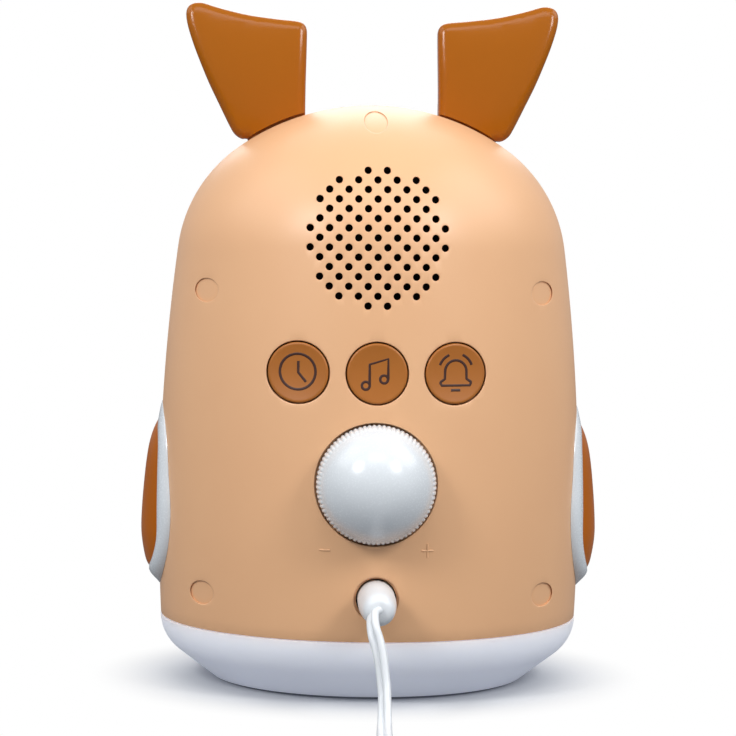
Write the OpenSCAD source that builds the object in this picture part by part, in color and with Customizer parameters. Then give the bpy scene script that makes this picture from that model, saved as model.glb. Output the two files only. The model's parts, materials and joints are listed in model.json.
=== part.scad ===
// Kids' alarm clock with a night light, shaped as a dog with folded ears. It stands on its base,
// with Z up, the face toward -Y and the controls on the back toward +Y. The origin is on the
// body's axis, on the table. All sizes are in millimetres.

/* [Body] */
// Radius of the body at its widest level
body_r = 56.5; // [56:0.1:57]
// Height of the widest level above the table
widest_z = 44.5; // [43:0.5:46]
// Height of the crown of the dome
top_z = 153.6; // [153:0.2:154.2]
// Radius of the arc over the crown
crown_r = 62; // [61:0.5:63]
// Radius of the arc round the shoulder
shoulder_r = 38.5; // [38:0.5:39.5]
// Radius of the long arc down the side
side_r = 547; // [520:1:580]
// Height of the seam between the shells and the base
seam_z = 17; // [16.8:0.1:17.2]
// Wall thickness of the two shells
wall = 2.4; // [2.2:0.1:2.6]
// Where the two shells meet, measured back from the axis
parting_y = 3; // [2.5:0.5:3.5]

/* [Base and night light] */
// Radius of the base under the seam
base_r = 55.9; // [55.7:0.1:56.1]
// Radius of the rounding from the side of the base to its underside
base_round = 11.2; // [10.8:0.2:11.6]
// Slope of the underside, up from the table
base_slope = 37.4; // [36:0.2:39]
// Wall thickness of the base
base_wall = 2; // [1.8:0.1:2.2]
// Number of lamps on the ring of the night light
lamp_count = 8; // [6:1:10]
// Radius of the ring of lamps
lamp_ring_r = 27; // [26:0.5:28]

/* [Ears and arms] */
// Thickness of an ear
ear_t = 10; // [8:0.5:11]
// Height of an ear's outer tip
ear_tip_z = 181.5; // [180:0.5:183]
// How far an arm's white rim stands off the body
rim_t = 2.3; // [2:0.1:2.6]
// How far an arm's brown pad reaches from the axis
pad_reach = 61.3; // [61:0.1:62]

/* [Controls] */
// Height of the three buttons
button_z = 84.6; // [84:0.2:85]
// Radius of a button
button_r = 7.6; // [7.4:0.1:7.7]
// Distance from one button to the next
button_pitch = 19.8; // [19.5:0.1:20.2]
// Travel of a button
button_travel = 0.8; // [0.5:0.1:0.8]
// Height of the volume knob
knob_z = 56.8; // [56.4:0.2:57.2]
// Radius of the volume knob
knob_r = 15.1; // [14.8:0.1:15.2]
// Radius of the shaft that carries the knob
shaft_r = 3; // [2.9:0.1:3]
// Height of the power socket
jack_z = 27.9; // [27.7:0.1:28.1]
// Where the power socket stands across the back
jack_x = -0.3; // [-0.8:0.1:0]

/* [Speaker] */
// Height of the speaker
speaker_z = 118.5; // [118:0.5:119]
// Radius of the speaker's flange
speaker_r = 20; // [19.5:0.1:20]
// Distance between neighbouring holes in one row of the grille
grille_pitch = 4.87; // [4.8:0.01:4.9]
// Radius of a hole in the grille
grille_hole_r = 0.95; // [0.8:0.05:1]

/* [Display] */
// Height of the middle of the display window
window_z = 58; // [57:0.5:59]
// Width of the display window
window_w = 52; // [50:1:52]
// Height of the display window
window_h = 28; // [26:1:28]
// Radius of the window's corners
window_corner = 8; // [6:0.5:10]

/* [Power lead] */
// Width of the flat twin lead
lead_w = 3.9; // [3.6:0.1:4]
// Thickness of the flat twin lead
lead_t = 2; // [1.9:0.1:2.1]
// Radius of the coil at the middle of its turns
coil_r = 21.5; // [20:0.5:23]
// Turns side by side in one layer of the coil
coil_columns = 4; // [4:1:5]
// Layers of the coil
coil_layers = 2; // [1:1:2]

/* [Hidden] */

body_fn = 240;
fine_fn = 96;
small_fn = 32;
far = 90; // longer than any way across the body

peach = "#DDB38C";
brown = "#A9641E";
button_brown = "#A9703E";
arm_brown = "#96551A";
milky = "#B4B9C6";
white_abs = "#EEF2F4";
board_green = "#1F6B45";
black_abs = "#202022";
steel = "#B9BCC0";

// The body's outline is three arcs that touch: crown, shoulder and side. The shoulder's centre
// lies where its distances to the other two centres make it touch both arcs from inside.
crown_c = [0, top_z - crown_r];
side_c = [body_r - side_r, widest_z];
crown_gap = crown_r - shoulder_r;
side_gap = side_r - shoulder_r;
centre_line = side_c - crown_c;
centre_way = centre_line / norm(centre_line);
centre_step = (crown_gap * crown_gap - side_gap * side_gap + norm(centre_line) * norm(centre_line))
    / (2 * norm(centre_line));
centre_off = sqrt(crown_gap * crown_gap - centre_step * centre_step);
shoulder_c = crown_c + centre_step * centre_way + centre_off * [centre_way[1], -centre_way[0]];
crown_way = (shoulder_c - crown_c) / crown_gap;
side_way = (shoulder_c - side_c) / side_gap;

// Radius of the body, less off, at height z
function body_rad(z, off = 0) =
    z >= crown_c[1] + (crown_r - off) * crown_way[1] ? sqrt(pow(crown_r - off, 2) - pow(z - crown_c[1], 2))
    : z >= side_c[1] + (side_r - off) * side_way[1]
        ? shoulder_c[0] + sqrt(pow(shoulder_r - off, 2) - pow(z - shoulder_c[1], 2))
    : side_c[0] + sqrt(pow(side_r - off, 2) - pow(z - side_c[1], 2));

// Distance from the axis plane to the body's skin at x and z
function skin_y(x, z, off = 0) = sqrt(pow(body_rad(z, off), 2) - x * x);

// Fastenings: screws run along Y from the back, each under a plug in the skin
screw_spots = [[0, 148.4], [43.4, 104.5], [-43.4, 104.5], [44, 26.6], [-44, 26.6]];
screw_well_r = 3.05;
screw_seat_y = 9;
screw_head_r = 2.6;
screw_head_t = 1.8;
screw_r = 1.25;
screw_len = 14;
screw_clear_r = 1.45;
boss_r = 4.25;
plug_r = 2.85;
plug_sunk = 0.8;
plug_len = 10;

// Base, from the table up
pad_t = 1.6;
pad_r = 40;
underside_z = 0.8;
base_gap = 0.2;
base_posts = [[26, 26], [-26, 26], [26, -26], [-26, -26]];
base_post_r = 3.6;
post_top_z = 15.2;
base_head_z = 3.6;
corner_c = [base_r - base_round, seam_z];
cell_y = -22;
cell_r = 10;
cell_t = 3.2;
cell_cover_r = 12.7;
cell_hole_r = 13;
cell_tube_r = 14.6;
cell_tube_wall = 1.4;
cell_tube_top = 9.4;
lug_z = 3;
lug_t = 1.2;
lug_reach = 14.2;
lug_angle = 22;
notch_angle = 32;
unlock_angle = 45;
plate_z = 18;
plate_t = 1.6;
plate_r = 53.4;
light_board_z = 11.4;
light_board_t = 1.6;
light_board_r = [18, 32];
light_posts = [90, 210, 330];
light_post_ring = 22;

// Inside the body
board_y = 29.4;
board_t = 1.6;
board_w = 68;
board_z = [38, 97];
board_posts = [[30, 42], [-30, 42], [30, 93], [-30, 93]];
collar_y = 42.5;
collar_r = 9.3;
button_gap = 0.35;
button_proud = 0.25;
flange_t = 1.7;
flange_r = 8.6;
knob_floor_y = 52.6;
knob_cup_t = 1.8;
knob_well_r = 15.5;
knob_cup_r = 17.2;
knob_centre_y = 55.8;
knob_base_y = 53.8;
knob_wall = 1.8;
hub_r = 5.2;
shaft_tip_y = 66;
pot_y = 31;
speaker_y = 34;
speaker_flange_t = 1.2;
speaker_collar_r = 21.7;
jack_floor_y = 47.6;
jack_cup_y = 40;
jack_cup_r = 8;
jack_r = 6.6;
jack_hole_r = 5.6;
jack_neck_r = 5.1;
jack_step_y = 54.6;
display_y = -41;
display_posts = [[27, 18.5], [-27, 18.5], [27, -18.5], [-27, -18.5]];

// Clearance between parts that touch
touch_gap = 0.02;

// Ears and arms
ear_peg_x = [22, 30];
ear_y = -9;
ear_peg_y = ear_y - 1.8;
ear_peg_r = 2;
ear_gap = 1.1;
arm_peg_z = [35, 62];
arm_peg_y = -4;
arm_peg_r = 1.8;
pad_axis_x = pad_reach - 28.9;
rim_big = [45.1, 20.4];
rim_small = [56.5, 17.5];
egg_side_sunk = 0.005;
rim_gap = 0.1;
rim_band = 2.6;

// Face
eye_x = 16;
eye_z = 112;
eye_ball_r = 5.5;
eye_sunk = 3.4;
muzzle_z = 95;
muzzle_ball_r = 12;
muzzle_half = 6;
muzzle_y = -46.5;
nose_z = 101.5;
nose_ball_r = 3.6;
nose_half = 2.2;
nose_y = -55.6;

// Power lead. Each stop of a route is [x, y, z, turn], where turn is the angle that the lead's
// wide side makes with level, and the curve runs smoothly through the stops.
plug_y = [48.2, 77];
plug_end_r = 4;
plug_wide_r = 4.75;
barrel_r = 2.75;
barrel_y = 39;
lead_route = [
    [0.2, 76.9, 27.6, -44], [1.2, 78.6, 27.2, -52], [1.4, 80.6, 25.9, -60], [1.05, 82.3, 23.6, -66],
    [0.15, 83.6, 20.5, -70], [-0.55, 84.7, 17.1, -70], [-1, 85.8, 13.7, -66],
    [-1.35, 87.2, 10.3, -58], [-1.4, 89, 7.1, -48], [-1.3, 91.6, 4.2, -36], [-1.15, 95, 2.2, -26],
    [-1.05, 99, 1.5, -20], [-1, 104, 1.36, -16], [-1.2, 112, 1.46, -22], [-1.7, 122, 1.76, -45],
    [-2.2, 132, 2, -75], [-2.5, 142, 2.01, -90], [-2.55, 150, 2, -90], [-2.6, 157.5, 2, -90]
];
tail_route = [
    [-2.6, 157.5, 5.9, -90], [-2.2, 161, 5.8, -92], [-1, 164.6, 5.5, -96], [1.4, 167.8, 5, -102],
    [4.6, 169.9, 4.5, -108], [8.2, 170.8, 4.1, -120], [12, 171, 4, -150], [15.5, 171, 4, -180]
];
coil_y = 157.5;
coil_pitch = 2.1;
coil_half_w = coil_columns * coil_pitch / 2;
coil_h = coil_layers * lead_w;
coil_x = -2.6 - coil_r - coil_half_w + lead_t / 2;
usb_y = 171;
usb_grip_x = [15, 36];
usb_shell_x = [36, 48];
usb_grip_size = [15, 8];
usb_shell_size = [12, 4.5];

// --- Shared shapes ---------------------------------------------------------------------------

// The slice of a circle between two directions from its centre
module slice(centre, r, way_a, way_b, fn) {
    middle = unit(way_a + way_b);
    intersection() {
        translate(centre) circle(r = r, $fn = fn);
        polygon([centre, centre + 2 * r * way_a, centre + 3 * r * middle, centre + 2 * r * way_b]);
    }
}

// Half of the body's outline, drawn in by off and cut level at z0
module body_outline(off, z0) {
    slice(crown_c, crown_r - off, [0, 1], crown_way, body_fn);
    intersection() {
        translate(shoulder_c) circle(r = shoulder_r - off, $fn = body_fn);
        translate([0, z0]) square([2 * body_r, top_z]);
    }
    intersection() {
        slice(side_c, side_r - off, side_way, [cos(20), -sin(20)], 15 * body_fn);
        translate([0, z0]) square([2 * body_r, top_z]);
    }
    translate([0, z0]) square([body_r / 2, shoulder_c[1] - z0]);
}

// The solid inside the body's skin, drawn in by off
module inside(off, z0 = 1) {
    rotate_extrude($fn = body_fn) body_outline(off, z0);
}

// All space behind the plane y
module behind(y) {
    translate([-far, y, -far]) cube([2 * far, 2 * far, 4 * far]);
}

// All space in front of the plane y
module before(y) {
    translate([-far, y - 2 * far, -far]) cube([2 * far, 2 * far, 4 * far]);
}

// A round bar along Y from y0 to y1, centred on x and z
module rod_y(x, z, y0, y1, r, r_end = -1, fn = fine_fn) {
    translate([x, y0, z]) rotate([-90, 0, 0])
        cylinder(h = y1 - y0, r1 = r, r2 = r_end < 0 ? r : r_end, $fn = fn);
}

// A round bar along Z from z0 to z1
module rod_z(x, y, z0, z1, r, fn = fine_fn) {
    translate([x, y, z0]) cylinder(h = z1 - z0, r = r, $fn = fn);
}

// A rounded bar along X with ball ends, centred on the given point
module capsule_x(at, half, r) {
    translate(at) rotate([0, 90, 0]) rotate_extrude($fn = fine_fn) intersection() {
        union() {
            for (end = [-half, half]) translate([0, end]) circle(r = r, $fn = fine_fn);
            square([2 * r, 2 * half], center = true);
        }
        translate([0, -far]) square([far, 2 * far]);
    }
}

// A rectangle with round corners, centred
module rounded(w, h, r) {
    square([w - 2 * r, h], center = true);
    square([w, h - 2 * r], center = true);
    for (x = [-1, 1], z = [-1, 1])
        translate([x * (w / 2 - r), z * (h / 2 - r)]) circle(r = r, $fn = small_fn);
}

// The display window's outline as a bar along Y, grown by gap
module window_bar(gap) {
    translate([0, -20, window_z]) rotate([90, 0, 0]) linear_extrude(60)
        rounded(window_w + 2 * gap, window_h + 2 * gap, window_corner + gap);
}

// An egg's outline: two circles and the straight sides that touch both
module egg_flat(big, small, grow) {
    lean = asin((big[1] - small[1]) / (small[0] - big[0]));
    side = [cos(lean), sin(lean)];
    low = (big[1] + grow - egg_side_sunk) * side;
    high = (small[1] + grow - egg_side_sunk) * side;
    translate([0, big[0]]) circle(r = big[1] + grow, $fn = fine_fn);
    translate([0, small[0]]) circle(r = small[1] + grow, $fn = fine_fn);
    polygon([[low[0], big[0] + low[1]], [high[0], small[0] + high[1]],
        [-high[0], small[0] + high[1]], [-low[0], big[0] + low[1]]]);
}

// Points of a smooth curve through the stops, with steps points from one stop to the next
function stop_at(route, i) = route[max(0, min(len(route) - 1, i))];
function between(a, b, c, d, t) = 0.5 * (2 * b + (c - a) * t + (2 * a - 5 * b + 4 * c - d) * t * t
    + (3 * b - a - 3 * c + d) * t * t * t);
function smooth(route, steps) = [
    for (i = [0 : len(route) - 2], k = [0 : steps - 1])
        between(stop_at(route, i - 1), route[i], route[i + 1], stop_at(route, i + 2), k / steps),
    route[len(route) - 1]
];
function place(stop) = [stop[0], stop[1], stop[2]];
function unit(v) = v / norm(v);
function heading(line, i) = unit(place(stop_at(line, i + 1)) - place(stop_at(line, i - 1)));

// One ring of a flat lead: an oval across the heading, its wide side turned from level
function level_side(way) = unit(cross(way, [0, 0, 1]));
function lead_ring(line, i, half_w, half_t, sides) = let (
    way = heading(line, i),
    level = abs(way[2]) > 0.99 ? [1, 0, 0] : level_side(way),
    rise = cross(level, way),
    turn = line[i][3],
    wide = cos(turn) * level + sin(turn) * rise,
    thin = cross(way, wide)
) [for (k = [0 : sides - 1]) place(line[i]) + half_w * cos(360 * k / sides) * wide
    + half_t * sin(360 * k / sides) * thin];

// A solid lead along a route
module lead(route, w, t, steps = 2, sides = 8) {
    line = smooth(route, steps);
    rings = len(line);
    points = [for (i = [0 : rings - 1]) each lead_ring(line, i, w / 2, t / 2, sides)];
    skin = [for (i = [0 : rings - 2], k = [0 : sides - 1]) let (
        a = i * sides + k,
        b = i * sides + (k + 1) % sides
    ) each [[a, b, b + sides], [a, b + sides, a + sides]]];
    ends = [[for (k = [sides - 1 : -1 : 0]) k], [for (k = [0 : sides - 1]) (rings - 1) * sides + k]];
    polyhedron(points, concat(skin, ends), convexity = 6);
}

// --- Shells ----------------------------------------------------------------------------------

module shell_wall() {
    rotate_extrude($fn = body_fn) difference() {
        body_outline(0, seam_z);
        body_outline(wall, seam_z - 1);
    }
}

// Two ribs round the foot of the shells, which hold the edge of the chassis plate
module plate_groove() {
    for (z = [seam_z, plate_z + plate_t + 0.2])
        rotate_extrude($fn = body_fn) translate([plate_r - 1.2, z]) square([2, 0.8]);
}

// Centres of the grille's holes, from the middle of the grille
function grille_spots() = [
    for (row = [-7 : 7], k = [-5 : 5])
        let (x = (k + (row % 2 == 0 ? 0 : 0.5)) * grille_pitch, z = row * grille_pitch / 2)
        if (norm([x, z]) <= 3.65 * grille_pitch) [x, z]
];

module front_shell() {
    color(peach) difference() {
        union() {
            intersection() {
                shell_wall();
                before(parting_y);
            }
            intersection() {
                inside(wall / 2, seam_z);
                before(parting_y);
                union() {
                    plate_groove();
                    for (s = screw_spots) rod_y(s[0], s[1], -far, parting_y, boss_r - 0.25);
                    for (s = display_posts) rod_y(s[0], window_z + s[1], -far, display_y, 2.5);
                }
            }
        }
        for (s = screw_spots) rod_y(s[0], s[1], screw_seat_y - screw_len - 1, parting_y + 1, screw_r);
        for (s = display_posts) rod_y(s[0], window_z + s[1], display_y - 6, display_y + 1, 0.9);
        window_bar(0);
        for (side = [-1, 1]) {
            for (x = ear_peg_x) rod_z(side * x, ear_peg_y, 136, 160, ear_peg_r + 0.05);
            for (z = arm_peg_z) arm_peg(side, z, 40, 60, arm_peg_r + 0.05);
            rod_y(side * eye_x, eye_z, -far, -30, 1.25);
            rod_y(side * muzzle_half, muzzle_z, -far, -30, 1.85);
        }
    }
}

// A tube behind the grille with a ledge that the speaker's flange rests on
module speaker_collar() {
    difference() {
        rod_y(0, speaker_z, speaker_y - 2.5, far, speaker_collar_r);
        rod_y(0, speaker_z, speaker_y - 3, speaker_y + speaker_flange_t + 0.1, speaker_r + 0.2);
        rod_y(0, speaker_z, speaker_y - 3, far + 1, speaker_r - 1.1);
    }
}

module rear_shell() {
    color(peach) difference() {
        union() {
            intersection() {
                shell_wall();
                behind(parting_y);
            }
            intersection() {
                inside(wall / 2, seam_z);
                behind(parting_y);
                union() {
                    plate_groove();
                    for (s = screw_spots) rod_y(s[0], s[1], parting_y, far, boss_r);
                    for (s = board_posts) rod_y(s[0], s[1], board_y + board_t, far, 3);
                    for (k = [-1 : 1]) rod_y(k * button_pitch, button_z, collar_y, far, collar_r);
                    rod_y(0, knob_z, knob_floor_y - knob_cup_t, far, knob_cup_r);
                    speaker_collar();
                    rod_y(jack_x, jack_z, jack_cup_y, far, jack_cup_r);
                }
            }
        }
        for (s = screw_spots) {
            rod_y(s[0], s[1], screw_seat_y, far, screw_well_r);
            rod_y(s[0], s[1], parting_y - 1, screw_seat_y + 1, screw_clear_r);
        }
        for (s = board_posts) rod_y(s[0], s[1], board_y, board_y + 8, 1);
        for (k = [-1 : 1]) rod_y(k * button_pitch, button_z, 30, far, button_r + button_gap);
        rod_y(0, knob_z, knob_floor_y, far, knob_well_r);
        rod_y(0, knob_z, 40, far, 4.2);
        for (s = grille_spots())
            rod_y(s[0], speaker_z + s[1], 38, far, grille_hole_r, fn = 24);
        rod_y(jack_x, jack_z, 30, jack_floor_y, jack_r + 0.05);
        rod_y(jack_x, jack_z, 30, far, jack_neck_r);
        rod_y(jack_x, jack_z, jack_step_y, far, jack_hole_r);
    }
}

module shell_screws() {
    color(steel) for (s = screw_spots) difference() {
        union() {
            rod_y(s[0], s[1], screw_seat_y, screw_seat_y + screw_head_t, screw_head_r);
            rod_y(s[0], s[1], screw_seat_y - screw_len, screw_seat_y + 0.1, screw_r);
        }
        for (turn = [0, 90]) translate([s[0], screw_seat_y + screw_head_t, s[1]])
            rotate([0, turn, 0]) cube([3, 1.6, 0.7], center = true);
    }
}

module screw_plugs() {
    color(peach) for (s = screw_spots) intersection() {
        inside(plug_sunk);
        rod_y(s[0], s[1], skin_y(s[0], s[1]) - plug_len, far, plug_r);
    }
}

// --- Base and night light --------------------------------------------------------------------

// Half of the base's outline, drawn in by off: a round edge, a slope and a level underside
module base_outline(off) {
    slope_at = corner_c + (base_round - off) * [sin(base_slope), -cos(base_slope)];
    low_z = underside_z + off;
    low_r = slope_at[0] - (slope_at[1] - low_z) / tan(base_slope);
    intersection() {
        translate(corner_c) circle(r = base_round - off, $fn = 2 * fine_fn);
        translate([0, -far + seam_z]) square([far, far]);
    }
    polygon([[0, low_z], [low_r, low_z], slope_at, corner_c, [0, corner_c[1]]]);
}

module base_bowl() {
    color(milky) difference() {
        union() {
            difference() {
                rotate_extrude($fn = body_fn) base_outline(0);
                rotate_extrude($fn = body_fn) base_outline(base_wall);
            }
            intersection() {
                rotate_extrude($fn = body_fn) base_outline(base_wall / 2);
                union() {
                    for (p = base_posts) rod_z(p[0], p[1], 1, post_top_z, base_post_r);
                    rod_z(0, cell_y, 1, cell_tube_top, cell_tube_r + cell_tube_wall);
                }
            }
        }
        translate([-far, -far, seam_z - base_gap]) cube([2 * far, 2 * far, 20]);
        rod_z(0, 0, 0, pad_t, pad_r + 0.1);
        for (p = base_posts) {
            rod_z(p[0], p[1], 0, base_head_z + 2, screw_head_r + 0.3);
            rod_z(p[0], p[1], 0, post_top_z + 1, screw_clear_r);
        }
        rod_z(0, cell_y, 0, cell_tube_top + 1, cell_hole_r);
        rod_z(0, cell_y, base_wall + underside_z, cell_tube_top + 1, cell_tube_r);
        for (turn = [0, 180]) lug(turn - unlock_angle, notch_angle, 0, 4, lug_reach + 0.3);
    }
}

// A sector round the cell cover's axis that makes a lug or the notch for one
module lug(turn, angle, z0, z1, reach) {
    translate([0, cell_y, 0]) rotate([0, 0, turn - angle / 2])
        rotate_extrude(angle = angle, $fn = fine_fn)
            translate([cell_hole_r - 2, z0]) square([reach - cell_hole_r + 2, z1 - z0]);
}

module base_pad() {
    color("#8F939B") difference() {
        rod_z(0, 0, 0, pad_t - 0.1, pad_r, body_fn);
        rod_z(0, cell_y, -1, 3, lug_reach + 0.9);
    }
}

module base_screws() {
    color(steel) for (p = base_posts) {
        rod_z(p[0], p[1], base_head_z, base_head_z + 2, screw_head_r);
        rod_z(p[0], p[1], base_head_z + 1.9, base_head_z + 16, screw_r);
    }
}

module cell_cover() {
    color(milky) difference() {
        union() {
            rod_z(0, cell_y, 1, lug_z + lug_t, cell_cover_r);
            for (turn = [0, 180]) lug(turn, lug_angle, lug_z, lug_z + lug_t - 0.2, lug_reach);
        }
        translate([-7, cell_y - 0.9, 0]) cube([14, 1.8, 1.9]);
        rod_z(0, cell_y, 2.4, 6, cell_r + 0.2);
    }
}

module coin_cell() {
    color(steel) {
        rod_z(0, cell_y, lug_z + 0.4, lug_z + 0.4 + cell_t - 0.6, cell_r - 0.2);
        rod_z(0, cell_y, lug_z + 0.3 + cell_t - 0.6, lug_z + 0.4 + cell_t, cell_r - 1.6);
    }
}

module cell_contact() {
    color("#D9C27A") difference() {
        rod_z(0, cell_y, 7.2, 8, cell_tube_r - 0.3);
        for (side = [-1, 1]) translate([side * 7, cell_y, 7.5]) cube([3, 16, 3], center = true);
    }
}

module chassis_plate() {
    color(white_abs) difference() {
        union() {
            rod_z(0, 0, plate_z, plate_z + plate_t, plate_r, body_fn);
            for (p = base_posts) rod_z(p[0], p[1], post_top_z, 26, base_post_r);
            for (a = light_posts) {
                at = light_post_ring * [cos(a), sin(a)];
                rod_z(at[0], at[1], light_board_z + light_board_t, plate_z, 3);
                rod_z(at[0], at[1], light_board_z - 0.5, plate_z, 1.4);
            }
        }
        for (p = base_posts) rod_z(p[0], p[1], 0, 24, screw_r);
        rod_z(10, 12, 0, 30, 3);
    }
}

module light_board() {
    color(white_abs) difference() {
        rod_z(0, 0, light_board_z, light_board_z + light_board_t, light_board_r[1], body_fn);
        rod_z(0, 0, 0, 30, light_board_r[0], body_fn);
        for (a = light_posts)
            rod_z(light_post_ring * cos(a), light_post_ring * sin(a), 0, 30, 1.5);
    }
}

module night_lamps() {
    color("#FFE9A8") for (k = [0 : lamp_count - 1]) rotate([0, 0, (k + 0.5) * 360 / lamp_count])
        translate([lamp_ring_r, 0, light_board_z - 0.8]) {
            cube([5, 5, 1.6], center = true);
        }
}

// --- Ears and arms ---------------------------------------------------------------------------

// Outline of the left ear as a closed curve through its stops, seen from behind. The inner edge
// stands upright, the top edge dips, and the outer corner is the tip.
ear_stops = [
    [18.05, 141], [18.05, 151], [18, 159], [17.85, 166], [17.75, 172.4], [17.85, 174.2],
    [18.4, 175.5], [19.5, 176.25], [21.6, 176.6], [25, 176.9], [29, 177.35], [33, 177.9], [37, 178.7],
    [40.5, 179.55], [43.5, 180.4], [45.8, ear_tip_z - 0.4], [47.5, ear_tip_z - 0.3], [49.1, 180.8],
    [50.15, 179.7], [50.5, 178.1], [50.2, 175.7], [49.4, 172.8], [48.1, 169], [46.15, 164.1],
    [44.05, 159.2], [41.65, 154.3], [39.25, 149.4], [38.1, 147.2], [37.35, 146], [36.2, 145],
    [35, 144.5], [33.7, 144.5], [32.5, 143], [25, 141]
];

// How far the ear's outer face stands behind the middle at each height: it leans in to a thin tip
ear_side = [[5, 139], [5, 147], [5, 154], [4.6, 160], [4, 165], [3.2, 170], [2.1, 175], [0.4, 182]];

// The outline's slab, thinned towards the top
module ear_slab() {
    intersection() {
        translate([0, ear_y + ear_t / 2, 0]) rotate([90, 0, 0]) linear_extrude(ear_t)
            polygon(smooth(ear_stops, 2));
        translate([10, ear_y, 0]) rotate([90, 0, 90]) linear_extrude(50)
            polygon(concat([[-far, 139]], smooth(ear_side, 2), [[-far, 182]]));
    }
}

// The ear stands in front of the dome's crest and clear of it, on a seat with two pegs
module ear(side) {
    mirror([side < 0 ? 1 : 0, 0, 0]) {
        difference() {
            ear_slab();
            inside(-ear_gap);
        }
        difference() {
            translate([18.1, ear_y - 4.2, 138]) cube([15, 6.2, 17]);
            inside(-touch_gap);
        }
        for (x = ear_peg_x) rod_z(x, ear_peg_y, body_top(x) - 6, body_top(x) + 2, ear_peg_r);
    }
}

// Height of the dome above x
function body_top(x) = crown_c[1] + sqrt(crown_r * crown_r - x * x);

module ear_left() { color(brown) ear(1); }
module ear_right() { color(brown) ear(-1); }

// Outline that an arm's pad is turned from, as its reach from its own upright axis and its height
pad_stops = [
    [0, 27.9], [20, 28], [24.5, 28.3], [26, 28.9], [26.9, 29.8], [27.6, 31.2], [28.15, 33.5],
    [28.65, 36.5], [28.9, 39.5], [28.85, 43], [28.6, 47.5], [28.2, 52.3], [27.7, 57.2],
    [27, 61.8], [26.05, 65.4], [24.95, 68], [24.1, 69.2], [22.5, 70], [18, 70.3], [0, 70.4]
];

// The turned shape that an arm's pad is cut from, grown by grow
module pad_egg(side, grow) {
    translate([side * pad_axis_x, 0, 0]) rotate_extrude($fn = body_fn) polygon([
        for (s = smooth(pad_stops, 2))
            [s[0] > 0 ? s[0] + grow : 0, s[1] + grow * (s[1] - 49) / 21]
    ]);
}

// The room that an arm's pad takes inside its rim's band, grown by grow
module pad_room(side, grow) {
    intersection() {
        pad_egg(side, grow);
        translate([side > 0 ? 30 : -70, 0, 0]) rotate([90, 0, 90]) linear_extrude(40)
            egg_flat(rim_big, rim_small, grow - rim_band);
    }
}

module arm_peg(side, z, x0, x1, r) {
    translate([side > 0 ? x0 : -x1, arm_peg_y, z]) rotate([0, 90, 0])
        cylinder(h = x1 - x0, r = r, $fn = small_fn);
}

// How far a rim's outer face stands off the body's skin at each height, as a part of rim_t
rim_rise = [
    [0.2, 24.2], [0.36, 25.2], [0.7, 26.4], [1.04, 27.6], [1.25, 28.8], [1.28, 30], [1.12, 33.5],
    [1, 38], [0.96, 45], [0.89, 50.5], [0.77, 58], [0.63, 64], [0.5, 68], [0.32, 70.5],
    [0.22, 72.8], [0.16, 74.8]
];

// An arm's white rim: an egg-shaped band round the pad, thickest at the bottom
module arm_rim(side) {
    difference() {
        intersection() {
            rotate_extrude($fn = body_fn) polygon(concat([[40, 24.2]], [
                for (s = smooth(rim_rise, 2)) [body_rad(s[1]) + rim_t * s[0], s[1]]
            ], [[40, 74.8]]));
            translate([side > 0 ? 40 : -70, 0, 0]) rotate([90, 0, 90]) linear_extrude(30)
                egg_flat(rim_big, rim_small, 0);
        }
        inside(-touch_gap);
        pad_room(side, rim_gap);
    }
}

module arm_pad(side) {
    difference() {
        pad_room(side, 0);
        inside(-touch_gap);
    }
    for (z = arm_peg_z) arm_peg(side, z, body_rad(z) - 5, body_rad(z) + 1, arm_peg_r);
}

module arm_rim_left() { color(white_abs) arm_rim(1); }
module arm_rim_right() { color(white_abs) arm_rim(-1); }
module arm_pad_left() { color(arm_brown) arm_pad(1); }
module arm_pad_right() { color(arm_brown) arm_pad(-1); }

// --- Face ------------------------------------------------------------------------------------

module eyes() {
    color(black_abs) for (side = [-1, 1]) {
        skin = skin_y(eye_x, eye_z);
        difference() {
            translate([side * eye_x, eye_sunk - skin, eye_z]) sphere(r = eye_ball_r, $fn = fine_fn);
            inside(-touch_gap);
        }
        rod_y(side * eye_x, eye_z, -skin - 0.5, 5 - skin, 1.2);
    }
}

module muzzle() {
    color(white_abs) {
        difference() {
            capsule_x([0, muzzle_y, muzzle_z], muzzle_half, muzzle_ball_r);
            inside(-touch_gap);
            capsule_x([0, nose_y, nose_z], nose_half, nose_ball_r + 0.05);
        }
        for (side = [-1, 1])
            rod_y(side * muzzle_half, muzzle_z, -skin_y(0, muzzle_z) - 0.5, -skin_y(0, muzzle_z) + 5, 1.8);
    }
}

module nose() {
    color(black_abs) difference() {
        capsule_x([0, nose_y, nose_z], nose_half, nose_ball_r);
        inside(-touch_gap);
    }
}

// --- Display ---------------------------------------------------------------------------------

module display_window() {
    color([0.12, 0.12, 0.14, 0.6]) {
        difference() {
            intersection() {
                window_bar(-0.15);
                inside(0.1);
            }
            inside(wall + 1.2);
        }
        difference() {
            intersection() {
                window_bar(1.5);
                inside(wall + touch_gap);
            }
            inside(wall + 1.2);
        }
    }
}

module display_module() {
    color(black_abs) translate([-23, display_y - 5.8, window_z - 8]) cube([46, 5.8, 16]);
}

module display_board() {
    color(board_green) difference() {
        translate([-31, display_y, window_z - 22]) cube([62, board_t, 44]);
        for (s = display_posts) rod_y(s[0], window_z + s[1], display_y - 1, display_y + 3, 1.2);
    }
}

module display_screws() {
    color(steel) for (s = display_posts) {
        rod_y(s[0], window_z + s[1], display_y + board_t, display_y + board_t + 1.4, 2.1);
        rod_y(s[0], window_z + s[1], display_y - 5, display_y + board_t + 0.1, 0.9);
    }
}

// --- Main board and controls -----------------------------------------------------------------

module main_board() {
    color(board_green) difference() {
        translate([-board_w / 2, board_y, board_z[0]]) cube([board_w, board_t, board_z[1] - board_z[0]]);
        for (s = board_posts) rod_y(s[0], s[1], board_y - 1, board_y + 3, 1.5);
    }
}

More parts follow.
